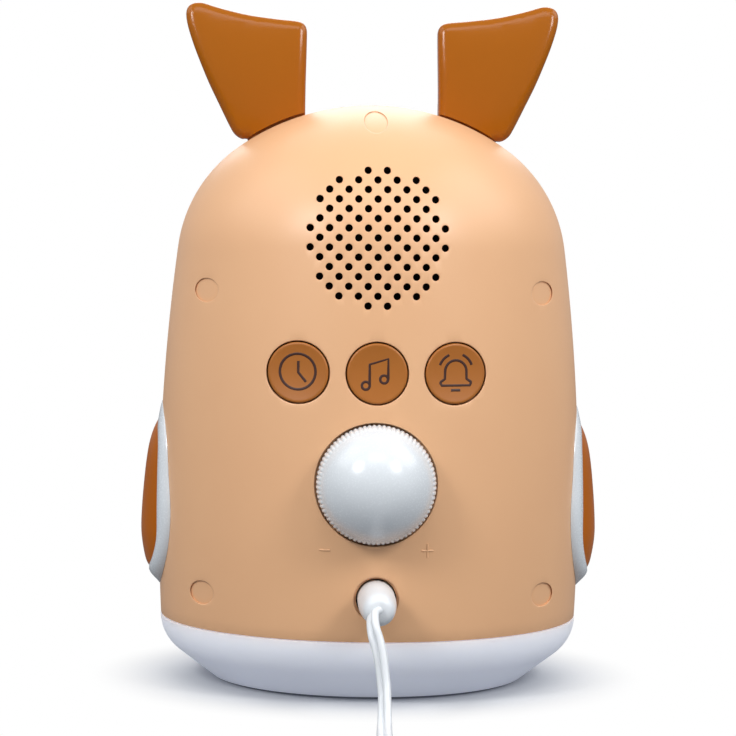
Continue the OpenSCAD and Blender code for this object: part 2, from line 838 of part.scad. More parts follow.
module board_screws() {
    color(steel) for (s = board_posts) {
        rod_y(s[0], s[1], board_y - 1.6, board_y, 2.4);
        rod_y(s[0], s[1], board_y - 0.1, board_y + 7, 1);
    }
}

module board_chips() {
    color(black_abs) {
        translate([-20, board_y - 1.5, 64]) cube([10, 1.5, 10]);
        translate([8, board_y - 1.5, 66]) cube([5, 1.5, 6]);
        translate([-6, board_y - 5, 42]) cube([12, 5, 5]);
        translate([-6, board_y - 5, 89]) cube([12, 5, 5]);
    }
}

module button_switches() {
    color(black_abs) for (k = [-1 : 1]) {
        translate([k * button_pitch - 3, board_y + board_t, button_z - 3]) cube([6, 3.5, 6]);
        rod_y(k * button_pitch, button_z, board_y + board_t + 3.4, board_y + board_t + 4.4, 1.7);
    }
}

module button(k) {
    color(button_brown) {
        intersection() {
            inside(-button_proud);
            rod_y(k * button_pitch, button_z, collar_y - 1, far, button_r);
        }
        rod_y(k * button_pitch, button_z, collar_y - 0.2 - flange_t, collar_y - 0.2, flange_r);
        rod_y(k * button_pitch, button_z, board_y + board_t + 4.45 + button_travel, collar_y - 1, 1.6);
    }
}

module button_clock() { button(1); }
module button_music() { button(0); }
module button_alarm() { button(-1); }

module volume_pot() {
    color(steel) difference() {
        union() {
            translate([-6, pot_y, knob_z - 6]) cube([12, 6.5, 12]);
            rod_y(0, knob_z, pot_y + 6, pot_y + 12, 4);
        }
        rod_y(0, knob_z, pot_y + 2, pot_y + 20, shaft_r + 0.06);
    }
}

module volume_shaft() {
    color(white_abs) difference() {
        rod_y(0, knob_z, pot_y + 2.2, shaft_tip_y, shaft_r);
        translate([1.6, knob_base_y, knob_z - 4]) cube([4, far, 8]);
    }
}

// Hollow dome on a hub that takes the flat side of the shaft
module volume_knob() {
    base = knob_base_y - knob_centre_y;
    color(white_abs) difference() {
        translate([0, knob_centre_y, knob_z]) rotate([-90, 0, 0]) rotate_extrude($fn = body_fn)
            intersection() {
                difference() {
                    circle(r = knob_r, $fn = body_fn);
                    difference() {
                        circle(r = knob_r - knob_wall, $fn = body_fn);
                        square([2 * hub_r, far], center = true);
                    }
                }
                translate([0, base]) square([far, far]);
            }
        difference() {
            rod_y(0, knob_z, knob_base_y - 1, shaft_tip_y + 0.3, shaft_r + touch_gap);
            translate([1.62, knob_base_y - 2, knob_z - 4]) cube([4, far, 8]);
        }
    }
}

// --- Speaker ---------------------------------------------------------------------------------

module speaker_frame() {
    color(black_abs) difference() {
        union() {
            rod_y(0, speaker_z, speaker_y, speaker_y + speaker_flange_t, speaker_r);
            rod_y(0, speaker_z, speaker_y - 8, speaker_y + 0.1, 11, 18.4);
        }
        rod_y(0, speaker_z, speaker_y - 7, speaker_y + 0.1, 10, 17.4);
        rod_y(0, speaker_z, speaker_y, speaker_y + 3, 17.5);
        rod_y(0, speaker_z, speaker_y - 9, speaker_y - 6, 5);
    }
}

module speaker_cone() {
    color(black_abs) difference() {
        rod_y(0, speaker_z, speaker_y - 5, speaker_y + 0.6, 7.5, 14.6);
        rod_y(0, speaker_z, speaker_y - 4.4, speaker_y + 1.2, 6.6, 14.8);
    }
}

module speaker_magnet() {
    color("#3A3A3D") {
        rod_y(0, speaker_z, speaker_y - 15, speaker_y - 8, 10);
        rod_y(0, speaker_z, speaker_y - 8.1, speaker_y - 5.2, 4.8);
    }
}

module speaker_ring() {
    color(white_abs) difference() {
        rod_y(0, speaker_z, speaker_y - 2.2, speaker_y - 0.1, speaker_r + 0.1);
        rod_y(0, speaker_z, speaker_y - 4, speaker_y + 2, 18.8);
    }
}

// --- Power -----------------------------------------------------------------------------------

module power_jack() {
    color(black_abs) difference() {
        rod_y(jack_x, jack_z, 36, jack_floor_y, jack_r);
        rod_y(jack_x, jack_z, barrel_y - 1, jack_floor_y + 1, barrel_r + 0.08);
    }
}

module jack_pin() {
    color(steel) rod_y(jack_x, jack_z, barrel_y - 1, jack_floor_y - 1.5, 0.98);
}

module power_leads() {
    color("#B02020") lead([[2, 35.9, 29, 0], [2, 33, 29.5, 0], [2, 29, 32, 0], [2, 26.8, 36, 0],
        [2, 26.8, 41.8, 0]], 1.4, 1.4);
    color(black_abs) lead([[-2, 35.9, 29, 0], [-2, 33, 29.5, 0], [-2, 29, 32, 0],
        [-2, 26.8, 36, 0], [-2, 26.8, 41.8, 0]], 1.4, 1.4);
}

module speaker_leads() {
    color("#B02020") lead([[3, 25.2, 107.6, 0], [3, 21, 106, 0], [3, 19, 103, 0], [3, 19.4, 96, 0],
        [3, 20.8, 92.4, 0], [3, 22.8, 91.65, 0], [3, 24.4, 91.6, 0]], 1.3, 1.3);
    color(black_abs) lead([[-3, 25.2, 107.6, 0], [-3, 21, 106, 0], [-3, 19, 103, 0],
        [-3, 19.4, 96, 0], [-3, 20.8, 92.4, 0], [-3, 22.8, 91.65, 0], [-3, 24.4, 91.6, 0]], 1.3, 1.3);
}

module display_cable() {
    color("#C9CCD2") lead([[18, 29.3, 60, 0], [18, 24, 60, 0], [18, 12, 62, 0], [18, -6, 63, 0],
        [18, -24, 62, 0], [18, -34, 60, 0], [18, -39.3, 60, 0]], 10, 0.9);
}

module light_leads() {
    color("#D8D8DA") lead([[-4, 26.8, 41.9, 0], [-4, 26.6, 36, 0], [0, 22, 29, 0],
        [6, 15, 25, 0], [10, 12, 20.5, 0], [10.6, 12.6, 17, 0], [12, 15.6, 15.2, 0],
        [12.2, 16.2, 14.4, 0], [12.2, 16.2, 13.7, 0], [12.2, 16.2, 13.03, 0]], 2, 2);
}

module dc_plug() {
    color(white_abs) difference() {
        union() {
            rod_y(jack_x, jack_z, plug_y[0], 60, plug_wide_r);
            rod_y(jack_x, jack_z, 60, plug_y[1] - 1, plug_wide_r, plug_end_r);
            rod_y(jack_x, jack_z, plug_y[1] - 1, plug_y[1], plug_end_r, plug_end_r - 0.8);
        }
        rod_y(jack_x, jack_z, plug_y[0] - 1, plug_y[0] + 4, barrel_r);
    }
}

module plug_barrel() {
    color(steel) difference() {
        rod_y(jack_x, jack_z, barrel_y, plug_y[0] + 4, barrel_r);
        rod_y(jack_x, jack_z, barrel_y - 1, plug_y[0] + 2, 1.05);
    }
}

module lead_cord() {
    color(white_abs) lead(lead_route, lead_w, lead_t, 3);
}

module cord_coil() {
    color(white_abs) translate([coil_x, coil_y, 0.05]) rotate_extrude($fn = fine_fn)
        translate([coil_r - coil_half_w, 0]) square([2 * coil_half_w, coil_h]);
}

module lead_tail() {
    color(white_abs) lead(tail_route, lead_w, lead_t, 3);
}

module usb_grip() {
    color(white_abs) translate([usb_grip_x[0], usb_y, usb_grip_size[1] / 2]) rotate([90, 0, 90])
        linear_extrude(usb_grip_x[1] - usb_grip_x[0]) rounded(usb_grip_size[0], usb_grip_size[1], 2.5);
}

module usb_shell() {
    color(steel) difference() {
        translate([usb_shell_x[0], usb_y - usb_shell_size[0] / 2, (usb_grip_size[1] - usb_shell_size[1]) / 2])
            cube([usb_shell_x[1] - usb_shell_x[0], usb_shell_size[0], usb_shell_size[1]]);
        translate([usb_shell_x[0] + 1, usb_y - usb_shell_size[0] / 2 + 0.4, usb_grip_size[1] / 2 - 0.2])
            cube([20, usb_shell_size[0] - 0.8, 2]);
    }
}

front_shell();
rear_shell();
chassis_plate();
base_bowl();
base_pad();
base_screws();
cell_cover();
coin_cell();
cell_contact();
light_board();
night_lamps();
ear_left();
ear_right();
arm_rim_left();
arm_rim_right();
arm_pad_left();
arm_pad_right();
shell_screws();
screw_plugs();
eyes();
muzzle();
nose();
display_window();
display_module();
display_board();
display_screws();
main_board();
board_screws();
board_chips();
button_switches();
button_clock();
button_music();
button_alarm();
volume_pot();
volume_shaft();
volume_knob();
speaker_frame();
speaker_cone();
speaker_magnet();
speaker_ring();
power_jack();
jack_pin();
power_leads();
speaker_leads();
display_cable();
light_leads();
dc_plug();
plug_barrel();
lead_cord();
cord_coil();
lead_tail();
usb_grip();
usb_shell();
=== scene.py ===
# Looks of a kids' alarm clock with a night light: a dome-shaped dog with folded ears, brown
# buttons, a ribbed volume knob and a plug-in lead on its back. Lengths are in millimetres up to
# where a piece is finished, which turns them to metres. The face looks toward -Y.
import json
from math import asin, cos, hypot, pi, radians, sin, sqrt

import bmesh
import bpy
from mathutils import Matrix, Vector


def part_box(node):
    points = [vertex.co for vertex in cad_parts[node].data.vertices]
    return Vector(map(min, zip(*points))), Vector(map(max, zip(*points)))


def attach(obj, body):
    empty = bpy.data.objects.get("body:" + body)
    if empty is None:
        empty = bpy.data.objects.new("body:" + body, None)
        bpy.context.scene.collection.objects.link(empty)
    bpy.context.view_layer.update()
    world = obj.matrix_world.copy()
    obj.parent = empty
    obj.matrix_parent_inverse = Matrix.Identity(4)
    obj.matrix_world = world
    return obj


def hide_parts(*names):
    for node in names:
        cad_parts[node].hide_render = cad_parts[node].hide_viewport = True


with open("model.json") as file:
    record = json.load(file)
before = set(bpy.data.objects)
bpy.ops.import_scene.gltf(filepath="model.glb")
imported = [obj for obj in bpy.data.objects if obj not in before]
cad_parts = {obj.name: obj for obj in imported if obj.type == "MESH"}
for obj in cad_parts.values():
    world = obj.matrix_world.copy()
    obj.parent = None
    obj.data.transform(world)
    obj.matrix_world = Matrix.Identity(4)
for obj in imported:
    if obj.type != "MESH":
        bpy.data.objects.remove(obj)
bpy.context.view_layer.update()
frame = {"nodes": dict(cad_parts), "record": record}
nodes = frame["nodes"]

# --- Sizes ---------------------------------------------------------------------------------------

BODY_R = 56.5
WIDEST_Z = 44.5
TOP_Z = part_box("rear_shell")[1].z * 1000
SEAM_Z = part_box("rear_shell")[0].z * 1000
CROWN_R = 62
SHOULDER_R = 38.5
SIDE_R = 547
WALL = 2.4
PARTING_Y = 3

GRILLE_Z = 118.5
GRILLE_PITCH = 4.87
GRILLE_REACH = 3.65 * GRILLE_PITCH
GRILLE_HOLE_R = 0.95
BUTTON_Z = 84.6
BUTTON_PITCH = 19.8
BUTTON_R = 7.6
BUTTON_GAP = 0.35
BUTTON_PROUD = 0.25
COLLAR_Y = 42.5
COLLAR_R = 9.3
KNOB_Z = 56.8
KNOB_R = 15.1
KNOB_CENTRE_Y = 55.8
KNOB_BASE_Y = 53.8
KNOB_FLOOR_Y = 52.6
KNOB_WELL_R = 15.5
KNOB_CUP_R = 17.2
KNOB_CUP_T = 1.8
RIB_COUNT = 76
JACK_X = -0.3
JACK_Z = 27.9
JACK_HOLE_R = 5.6
JACK_NECK_R = 5.1
JACK_STEP_Y = 54.6
JACK_R = 6.65
JACK_FLOOR_Y = 47.6
JACK_CUP_R = 8
SCREW_SPOTS = [(0, 148.4), (43.4, 104.5), (-43.4, 104.5), (44, 26.6), (-44, 26.6)]
SCREW_WELL_R = 3.05
SCREW_SEAT_Y = 9
SCREW_PLUG_R = 3.04
SCREW_PLUG_SUNK = 0.8
BOSS_R = 4.25
BOARD_POSTS = [(30, 42), (-30, 42), (30, 93), (-30, 93)]
WINDOW_Z = 58
WINDOW_W = 52
WINDOW_H = 28
WINDOW_CORNER = 8


# --- Body's skin ---------------------------------------------------------------------------------

def touching_arcs():
    """Centres of the crown, shoulder and side arcs, and the ways to where they touch"""
    crown = Vector((0, TOP_Z - CROWN_R))
    side = Vector((BODY_R - SIDE_R, WIDEST_Z))
    line = side - crown
    way = line.normalized()
    to_crown = CROWN_R - SHOULDER_R
    to_side = SIDE_R - SHOULDER_R
    along = (to_crown**2 - to_side**2 + line.length**2) / (2 * line.length)
    across = sqrt(to_crown**2 - along**2)
    shoulder = crown + along * way + across * Vector((way.y, -way.x))
    return crown, shoulder, side, (shoulder - crown) / to_crown, (shoulder - side) / to_side


CROWN, SHOULDER, SIDE, CROWN_WAY, SIDE_WAY = touching_arcs()


def body_radius(z, off=0):
    """Radius of the body at height z, drawn in by off"""
    if z >= CROWN.y + (CROWN_R - off) * CROWN_WAY.y:
        return sqrt(max(0, (CROWN_R - off) ** 2 - (z - CROWN.y) ** 2))
    if z >= SIDE.y + (SIDE_R - off) * SIDE_WAY.y:
        return SHOULDER.x + sqrt((SHOULDER_R - off) ** 2 - (z - SHOULDER.y) ** 2)
    return SIDE.x + sqrt((SIDE_R - off) ** 2 - (z - SIDE.y) ** 2)


def skin(x, z, off=0):
    """How far the skin stands from the axis plane at x and z"""
    return sqrt(max(0, body_radius(z, off) ** 2 - x * x))


def body_outline(off, low_z, steps=34):
    """Radius and height from the crown down to low_z, along the three arcs"""
    crown_end = asin(CROWN_WAY.y)
    side_start = asin(SIDE_WAY.y)
    side_end = asin((low_z - SIDE.y) / (SIDE_R - off))
    arcs = [
        (CROWN, CROWN_R - off, pi / 2, crown_end),
        (SHOULDER, SHOULDER_R - off, crown_end, side_start),
        (SIDE, SIDE_R - off, side_start, side_end),
    ]
    outline = []
    for centre, radius, start, end in arcs:
        for i in range(steps):
            a = start + (end - start) * i / steps
            outline.append((max(0, centre.x + radius * cos(a)), centre.y + radius * sin(a)))
    outline.append((SIDE.x + (SIDE_R - off) * cos(side_end), low_z))
    return outline


# --- Making meshes -------------------------------------------------------------------------------

def lathe(outline, steps=192, axis="Z", at=(0, 0)):
    """A solid turned from (radius, place along the axis) points, about an axis through at. An
    eighth of the turn is spun, and doubled three times."""
    bm = bmesh.new()
    if axis == "Z":
        points = [(at[0] + r, at[1], h) for r, h in outline]
        centre, way = (at[0], at[1], 0), (0, 0, 1)
    else:
        points = [(at[0] + r, h, at[1]) for r, h in outline]
        centre, way = (at[0], 0, at[1]), (0, 1, 0)
    line = [bm.verts.new(p) for p in points]
    edges = [bm.edges.new(pair) for pair in zip(line, line[1:])]
    bmesh.ops.spin(
        bm, geom=line + edges, cent=centre, axis=way, angle=pi / 4, steps=steps // 8
    )
    for turn in (pi / 4, pi / 2, pi):
        made = bmesh.ops.duplicate(bm, geom=bm.verts[:] + bm.edges[:] + bm.faces[:])["geom"]
        fresh = [part for part in made if isinstance(part, bmesh.types.BMVert)]
        bmesh.ops.rotate(bm, cent=centre, matrix=Matrix.Rotation(turn, 3, axis), verts=fresh)
    bmesh.ops.remove_doubles(bm, verts=bm.verts, dist=1e-4)
    bmesh.ops.recalc_face_normals(bm, faces=bm.faces)
    return bm


def fill(bm, rim):
    """Closes an open rim with one face"""
    bmesh.ops.contextual_create(bm, geom=rim)


def loft(rows, closed=False):
    """A solid through rows of points, each a ring of as many points. Its two ends are filled, or
    joined to each other where the rows go round in a loop."""
    bm = bmesh.new()
    bmesh.ops.create_circle(bm, segments=len(rows[0]), radius=1)
    place = bm.verts.layers.int.new("place")
    for i, vert in enumerate(bm.verts):
        vert[place] = i
        vert.co = rows[0][i]
    first = bm.edges[:]
    rim = first
    for row in rows[1:]:
        made = bmesh.ops.extrude_edge_only(bm, edges=rim)["geom"]
        fresh = {part for part in made if isinstance(part, bmesh.types.BMVert)}
        rim = [
            part for part in made
            if isinstance(part, bmesh.types.BMEdge) and set(part.verts) <= fresh
        ]
        for vert in fresh:
            vert.co = row[vert[place]]
    if closed:
        bmesh.ops.bridge_loops(bm, edges=first + rim)
    else:
        fill(bm, first)
        fill(bm, rim)
    bm.verts.layers.int.remove(bm.verts.layers.int["place"])
    bmesh.ops.recalc_face_normals(bm, faces=bm.faces)
    return bm


def joined(parts):
    """Several meshes as one"""
    bm = bmesh.new()
    for part in parts:
        mesh = as_mesh(part)
        bm.from_mesh(mesh)
        bpy.data.meshes.remove(mesh)
    return bm


def as_mesh(bm):
    mesh = bpy.data.meshes.new("work")
    bm.to_mesh(mesh)
    bm.free()
    return mesh


def as_object(bm):
    thing = bpy.data.objects.new("work", as_mesh(bm))
    bpy.context.scene.collection.objects.link(thing)
    return thing


def cut(bm, tool, operation="DIFFERENCE"):
    """The solid less the tool, or joined with it"""
    piece = as_object(bm)
    cutter = as_object(tool)
    step = piece.modifiers.new("cut", "BOOLEAN")
    step.object = cutter
    step.operation = operation
    step.solver = "MANIFOLD"
    seen = piece.evaluated_get(bpy.context.evaluated_depsgraph_get())
    mesh = bpy.data.meshes.new_from_object(seen)
    result = bmesh.new()
    result.from_mesh(mesh)
    for thing in (piece, cutter):
        old = thing.data
        bpy.data.objects.remove(thing)
        bpy.data.meshes.remove(old)
    bpy.data.meshes.remove(mesh)
    bmesh.ops.remove_doubles(result, verts=result.verts, dist=1e-4)
    return result


def finish(bm, name, material, body="root", crease=32):
    """The mesh as a finished piece of the clock, in metres, that rides on a body"""
    bmesh.ops.scale(bm, vec=(0.001, 0.001, 0.001), verts=bm.verts)
    mesh = bpy.data.meshes.new(name)
    bm.to_mesh(mesh)
    bm.free()
    mesh.shade_smooth()
    mesh.set_sharp_from_angle(angle=radians(crease))
    mesh.materials.append(material)
    piece = bpy.data.objects.new(name, mesh)
    bpy.context.scene.collection.objects.link(piece)
    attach(piece, body)
    return piece


def ring(x, z, radius, depth, front=1, count=72):
    """A ring round an axis along Y, depth below the skin of the back, or of the front where front
    is -1"""
    points = []
    for i in range(count):
        a = 2 * pi * i / count
        px = x + radius * cos(a)
        pz = z + radius * sin(a)
        points.append((px, front * (skin(px, pz) - depth), pz))
    return points


def flat_ring(x, z, radius, y, count=72):
    return [
        (x + radius * cos(2 * pi * i / count), y, z + radius * sin(2 * pi * i / count))
        for i in range(count)
    ]


def hole(x, z, radius, floor_y, rounding, count=72):
    """A tool for a hole in the back whose mouth is rounded where it meets the skin"""
    rows = [flat_ring(x, z, radius, floor_y, count)]
    for turn in (0, 30, 60):
        out = rounding * (1 - cos(radians(turn)))
        depth = rounding * (1 - sin(radians(turn)))
        rows.append(ring(x, z, radius + out, depth, count=count))
    clear = radius + 1.5 * rounding
    rows.append(ring(x, z, clear, -0.134 * rounding, count=count))
    rows.append(flat_ring(x, z, clear, BODY_R + 5, count))
    return loft(rows)


def rod(x, z, start_y, end_y, radius, steps=72):
    outline = [(0, start_y), (radius, start_y), (radius, end_y), (0, end_y)]
    return lathe(outline, steps, "Y", (x, z))


def stroke(points, width, surface, height, closed=False, corner_steps=2):
    """A thin raised line through (across, up) points on a surface, which gives y there. It stands
    out by height on the side that height's sign gives."""
    curve = bpy.data.curves.new("line", "CURVE")
    curve.dimensions = "3D"
    curve.bevel_depth = width / 2
    curve.bevel_resolution = corner_steps
    curve.use_fill_caps = True
    path = curve.splines.new("POLY")
    path.points.add(len(points) - 1)
    path.use_cyclic_u = closed
    for point, (across, up) in zip(path.points, points):
        point.co = (across, 0, up, 1)
    thing = bpy.data.objects.new("line", curve)
    bpy.context.scene.collection.objects.link(thing)
    seen = thing.evaluated_get(bpy.context.evaluated_depsgraph_get())
    mesh = bpy.data.meshes.new_from_object(seen)
    bm = bmesh.new()
    bm.from_mesh(mesh)
    bpy.data.objects.remove(thing)
    bpy.data.curves.remove(curve)
    bpy.data.meshes.remove(mesh)
    for vert in bm.verts:
        lift = vert.co.y / (width / 2)
        vert.co.y = surface(vert.co.x, vert.co.z) + lift * height
    bmesh.ops.remove_doubles(bm, verts=bm.verts, dist=1e-4)
    bmesh.ops.recalc_face_normals(bm, faces=bm.faces)
    return bm


def arc(centre, radius, start, end, steps):
    """Points on an arc, from one angle to another in degrees"""
    return [
        (
            centre[0] + radius * cos(radians(start + (end - start) * i / steps)),
            centre[1] + radius * sin(radians(start + (end - start) * i / steps)),
        )
        for i in range(steps + 1)
    ]


# --- Finishes ------------------------------------------------------------------------------------

def colour(code):
    """An sRGB hex colour as linear RGBA"""
    parts = [int(code[i:i + 2], 16) / 255 for i in (1, 3, 5)]
    return (*(c / 12.92 if c <= 0.04045 else ((c + 0.055) / 1.055) ** 2.4 for c in parts), 1)


def add(tree, kind, inputs=(), **settings):
    """Adds a node with its settings, values and links"""
    made = tree.nodes.new(kind)
    for key, value in settings.items():
        setattr(made, key, value)
    for socket, value in dict(inputs).items():
        if isinstance(value, bpy.types.NodeSocket):
            tree.links.new(value, made.inputs[socket])
        else:
            made.inputs[socket].default_value = value
    return made


def per_mm(size):
    """Scale of a noise whose grain is this many millimetres across, on coordinates in metres"""
    return 1000 / size


def surface(name, base, low, grain, bump, rough=(0.3, 0.4), cloud=18, **shader):
    """A material with a colour that drifts between two near shades over its cloud size, a
    roughness that varies between two values, and a moulded or cast grain of a size in mm"""
    material = bpy.data.materials.new(name)
    material.use_nodes = True
    tree = material.node_tree
    tree.nodes.clear()
    place = add(tree, "ShaderNodeTexCoord").outputs["Object"]
    drift = add(tree, "ShaderNodeTexNoise", {"Vector": place, "Scale": per_mm(cloud), "Detail": 2})
    shade = add(tree, "ShaderNodeMix", {"Factor": drift.outputs["Fac"], 6: colour(base),
                                        7: colour(low)}, data_type="RGBA")
    fine = add(tree, "ShaderNodeTexNoise", {"Vector": place, "Scale": per_mm(grain), "Detail": 3,
                                            "Roughness": 0.6})
    wear = add(tree, "ShaderNodeMapRange", {"Value": fine.outputs["Fac"], "From Min": 0.3,
                                            "From Max": 0.7, "To Min": rough[0],
                                            "To Max": rough[1]})
    relief = add(tree, "ShaderNodeBump", {"Height": fine.outputs["Fac"], "Strength": bump,
                                          "Distance": grain * 0.0002})
    values = {"Base Color": shade.outputs[2], "Roughness": wear.outputs["Result"],
              "Normal": relief.outputs["Normal"]}
    values.update({key.replace("_", " "): value for key, value in shader.items()})
    body = add(tree, "ShaderNodeBsdfPrincipled", values)
    add(tree, "ShaderNodeOutputMaterial", {"Surface": body.outputs["BSDF"]})
    return material


# Peach ABS, moulded in a finely spark-eroded tool: a soft satin sheen with broad highlights.
# The real grain of 0.1 mm is drawn at 0.45 mm so that it shows.
peach_abs = surface("peach_satin_abs", "#EAB789", "#E7B285", 0.45, 0.12, (0.36, 0.46), IOR=1.53,
                    Specular_IOR_Level=0.45, Coat_Weight=0.12, Coat_Roughness=0.3)
# Caramel ABS from a polished tool: a clear gloss with narrow bright lines on the rounded edges.
caramel_abs = surface("caramel_gloss_abs", "#A45C07", "#A05805", 0.6, 0.05, (0.16, 0.22), IOR=1.53,
                      Specular_IOR_Level=0.28)
# Brown ABS with a light satin, on the buttons: warmer and lighter than the ears.
button_abs = surface("button_satin_abs", "#AD6825", "#A86321", 0.4, 0.12, (0.34, 0.44), IOR=1.53,
                     Specular_IOR_Level=0.4)
# Brown ABS of the arms' domed pads: deeper, with a smooth satin.
pad_abs = surface("arm_satin_abs", "#B3600A", "#AF5C08", 0.4, 0.08, (0.28, 0.36), IOR=1.53,
                  Specular_IOR_Level=0.06)
# Pad-printed ink in dark brown: a thin matt layer over the button.
symbol_ink = surface("dark_brown_ink", "#3C1809", "#371507", 0.3, 0.1, (0.45, 0.6))
# White ABS, polished: bright with a slight blue cast and soft clear reflections.
white_abs = surface("white_gloss_abs", "#E0E5E8", "#DCE1E5", 0.5, 0.04, (0.22, 0.3), IOR=1.53,
                    Coat_Weight=0.25, Coat_Roughness=0.15)
# Milky polypropylene of the unlit night light: light sinks into it, so its shading is soft. Its glow
# is painted light, an emission on a part that is not lit, standing in for light its wall carries
# round.
milky_pp = surface("milky_polypropylene", "#F0F2F8", "#ECEEF5", 0.6, 0.05, (0.3, 0.4), IOR=1.49,
                   Subsurface_Weight=0.9, Subsurface_Radius=(0.007, 0.007, 0.008),
                   # Painted glow: emission on the unlit base.
                   Subsurface_Scale=1.0, Emission_Color=colour("#B4B9C8"),
                   Emission_Strength=0.4)
# Grey silicone foot: matt and slightly dusty.
grey_silicone = surface("grey_silicone", "#8F939B", "#878B93", 0.3, 0.25, (0.6, 0.75), IOR=1.41)
# White PVC sheath of the lead: a satin skin, a little see-through at its edges.
lead_pvc = surface("white_pvc_sheath", "#E8EBEE", "#E2E6E9", 0.35, 0.06, (0.3, 0.4), IOR=1.52,
                   Subsurface_Weight=0.15, Subsurface_Radius=(0.001, 0.001, 0.001),
                   Subsurface_Scale=1.0)
# Black ABS of the eyes and nose: a deep polished gloss.
black_abs = surface("black_gloss_abs", "#1B1B1E", "#171719", 0.5, 0.03, (0.08, 0.14), IOR=1.53,
                    Coat_Weight=0.5, Coat_Roughness=0.05)
# Smoked acrylic of the display window: dark, polished and see-through.
smoked_acrylic = surface("smoked_acrylic", "#3A3C40", "#37393D", 1.0, 0.01, (0.02, 0.04), IOR=1.49,
                         Transmission_Weight=0.9)
# Glass-epoxy circuit board under green solder mask: satin, with the weave just showing.
green_mask = surface("green_solder_mask", "#1E6A44", "#1A6040", 0.8, 0.2, (0.3, 0.45))
# Black epoxy and nylon of chips, switches and sockets: matt with a fine moulded grain.
black_epoxy = surface("black_epoxy", "#1F1F20", "#262628", 0.3, 0.2, (0.5, 0.65))
# Zinc-plated steel of the screws: pale metal with a soft, slightly uneven shine.
zinc_steel = surface("zinc_plated_steel", "#C3C6CA", "#B4B8BE", 0.5, 0.15, (0.28, 0.42),
                     Metallic=1.0)
# Nickel-plated brass and steel of the plug and the USB shell: a bright clean metal.
nickel_plate = surface("nickel_plate", "#D5D3CC", "#CBC9C2", 0.6, 0.05, (0.15, 0.24), Metallic=1.0)
# Black-painted pressed steel of the speaker's basket, so that it hides behind the grille.
black_paint = surface("black_painted_steel", "#19191A", "#202022", 0.4, 0.15, (0.4, 0.55))
# Phosphor bronze of the cell's contact.
bronze_sheet = surface("phosphor_bronze", "#CFA96A", "#C29C5E", 0.6, 0.1, (0.25, 0.35),
                       Metallic=1.0)
# Stainless steel can of the coin cell.
cell_can = surface("stainless_cell_can", "#CDCFD1", "#C3C6C9", 0.4, 0.08, (0.2, 0.3),
                   Metallic=1.0)
# Yellow phosphor of the lamps.
lamp_phosphor = surface("lamp_phosphor", "#F4D98A", "#EFD27E", 0.4, 0.1, (0.4, 0.5))
# Sintered ferrite of the speaker's magnet: dark grey and dull.
ferrite = surface("sintered_ferrite", "#3B3B3E", "#343437", 0.5, 0.3, (0.55, 0.7))
# Coated paper of the speaker's cone: black, matt and fibrous.
paper_cone = surface("coated_paper_cone", "#141414", "#1B1B1B", 0.5, 0.4, (0.7, 0.85))
# Grey polyurethane foam of the speaker's seal.
open_foam = surface("sealing_foam", "#2D2D2F", "#262628", 0.6, 0.6, (0.85, 0.95))
# PVC insulation of the inner wires, red and grey.
red_wire = surface("red_wire_pvc", "#B02020", "#A61C1C", 0.4, 0.06, (0.35, 0.45))
grey_wire = surface("grey_wire_pvc", "#C9CCD2", "#BFC3CA", 0.4, 0.06, (0.35, 0.45))
# Lit segments of the display, a cool white behind the smoked window.
lit_segment = surface("lit_segment", "#F3F8FF", "#F3F8FF", 0.6, 0.0, (0.4, 0.5),
                      Emission_Color=colour("#EAF4FF"), Emission_Strength=3.0)


# --- Camera --------------------------------------------------------------------------------------

VIEW_TARGET = Vector((0, 0, 80))
VIEW_DISTANCE = 750
VIEW_RISE = radians(3.36)
VIEW_TURN = radians(1.93)
VIEW_ROLL = radians(0.62)
PICTURE_WIDTH = 736
FOCAL_PIXELS = 2779
TARGET_RIGHT = 1.9
TARGET_DOWN = 11.3


def set_camera():
    """The camera stands behind the clock, a little above its middle"""
    way = Vector((sin(VIEW_TURN) * cos(VIEW_RISE), cos(VIEW_TURN) * cos(VIEW_RISE), sin(VIEW_RISE)))
    right = Vector((0, 0, 1)).cross(way).normalized()
    up = way.cross(right)
    tilted_right = cos(VIEW_ROLL) * right + sin(VIEW_ROLL) * up
    tilted_up = way.cross(tilted_right)
    place = (VIEW_TARGET + VIEW_DISTANCE * way) * 0.001
    data = bpy.data.cameras.new("camera")
    data.sensor_width = 36
    data.lens = FOCAL_PIXELS / PICTURE_WIDTH * data.sensor_width
    data.shift_x = -TARGET_RIGHT / PICTURE_WIDTH
    data.shift_y = TARGET_DOWN / PICTURE_WIDTH
    data.clip_start = 0.01
    camera = bpy.data.objects.new("camera", data)
    turned = Matrix((tilted_right, tilted_up, way)).transposed()
    camera.matrix_world = Matrix.Translation(place) @ turned.to_4x4()
    bpy.context.scene.collection.objects.link(camera)
    bpy.context.scene.camera = camera


set_camera()

# --- Power lead ----------------------------------------------------------------------------------

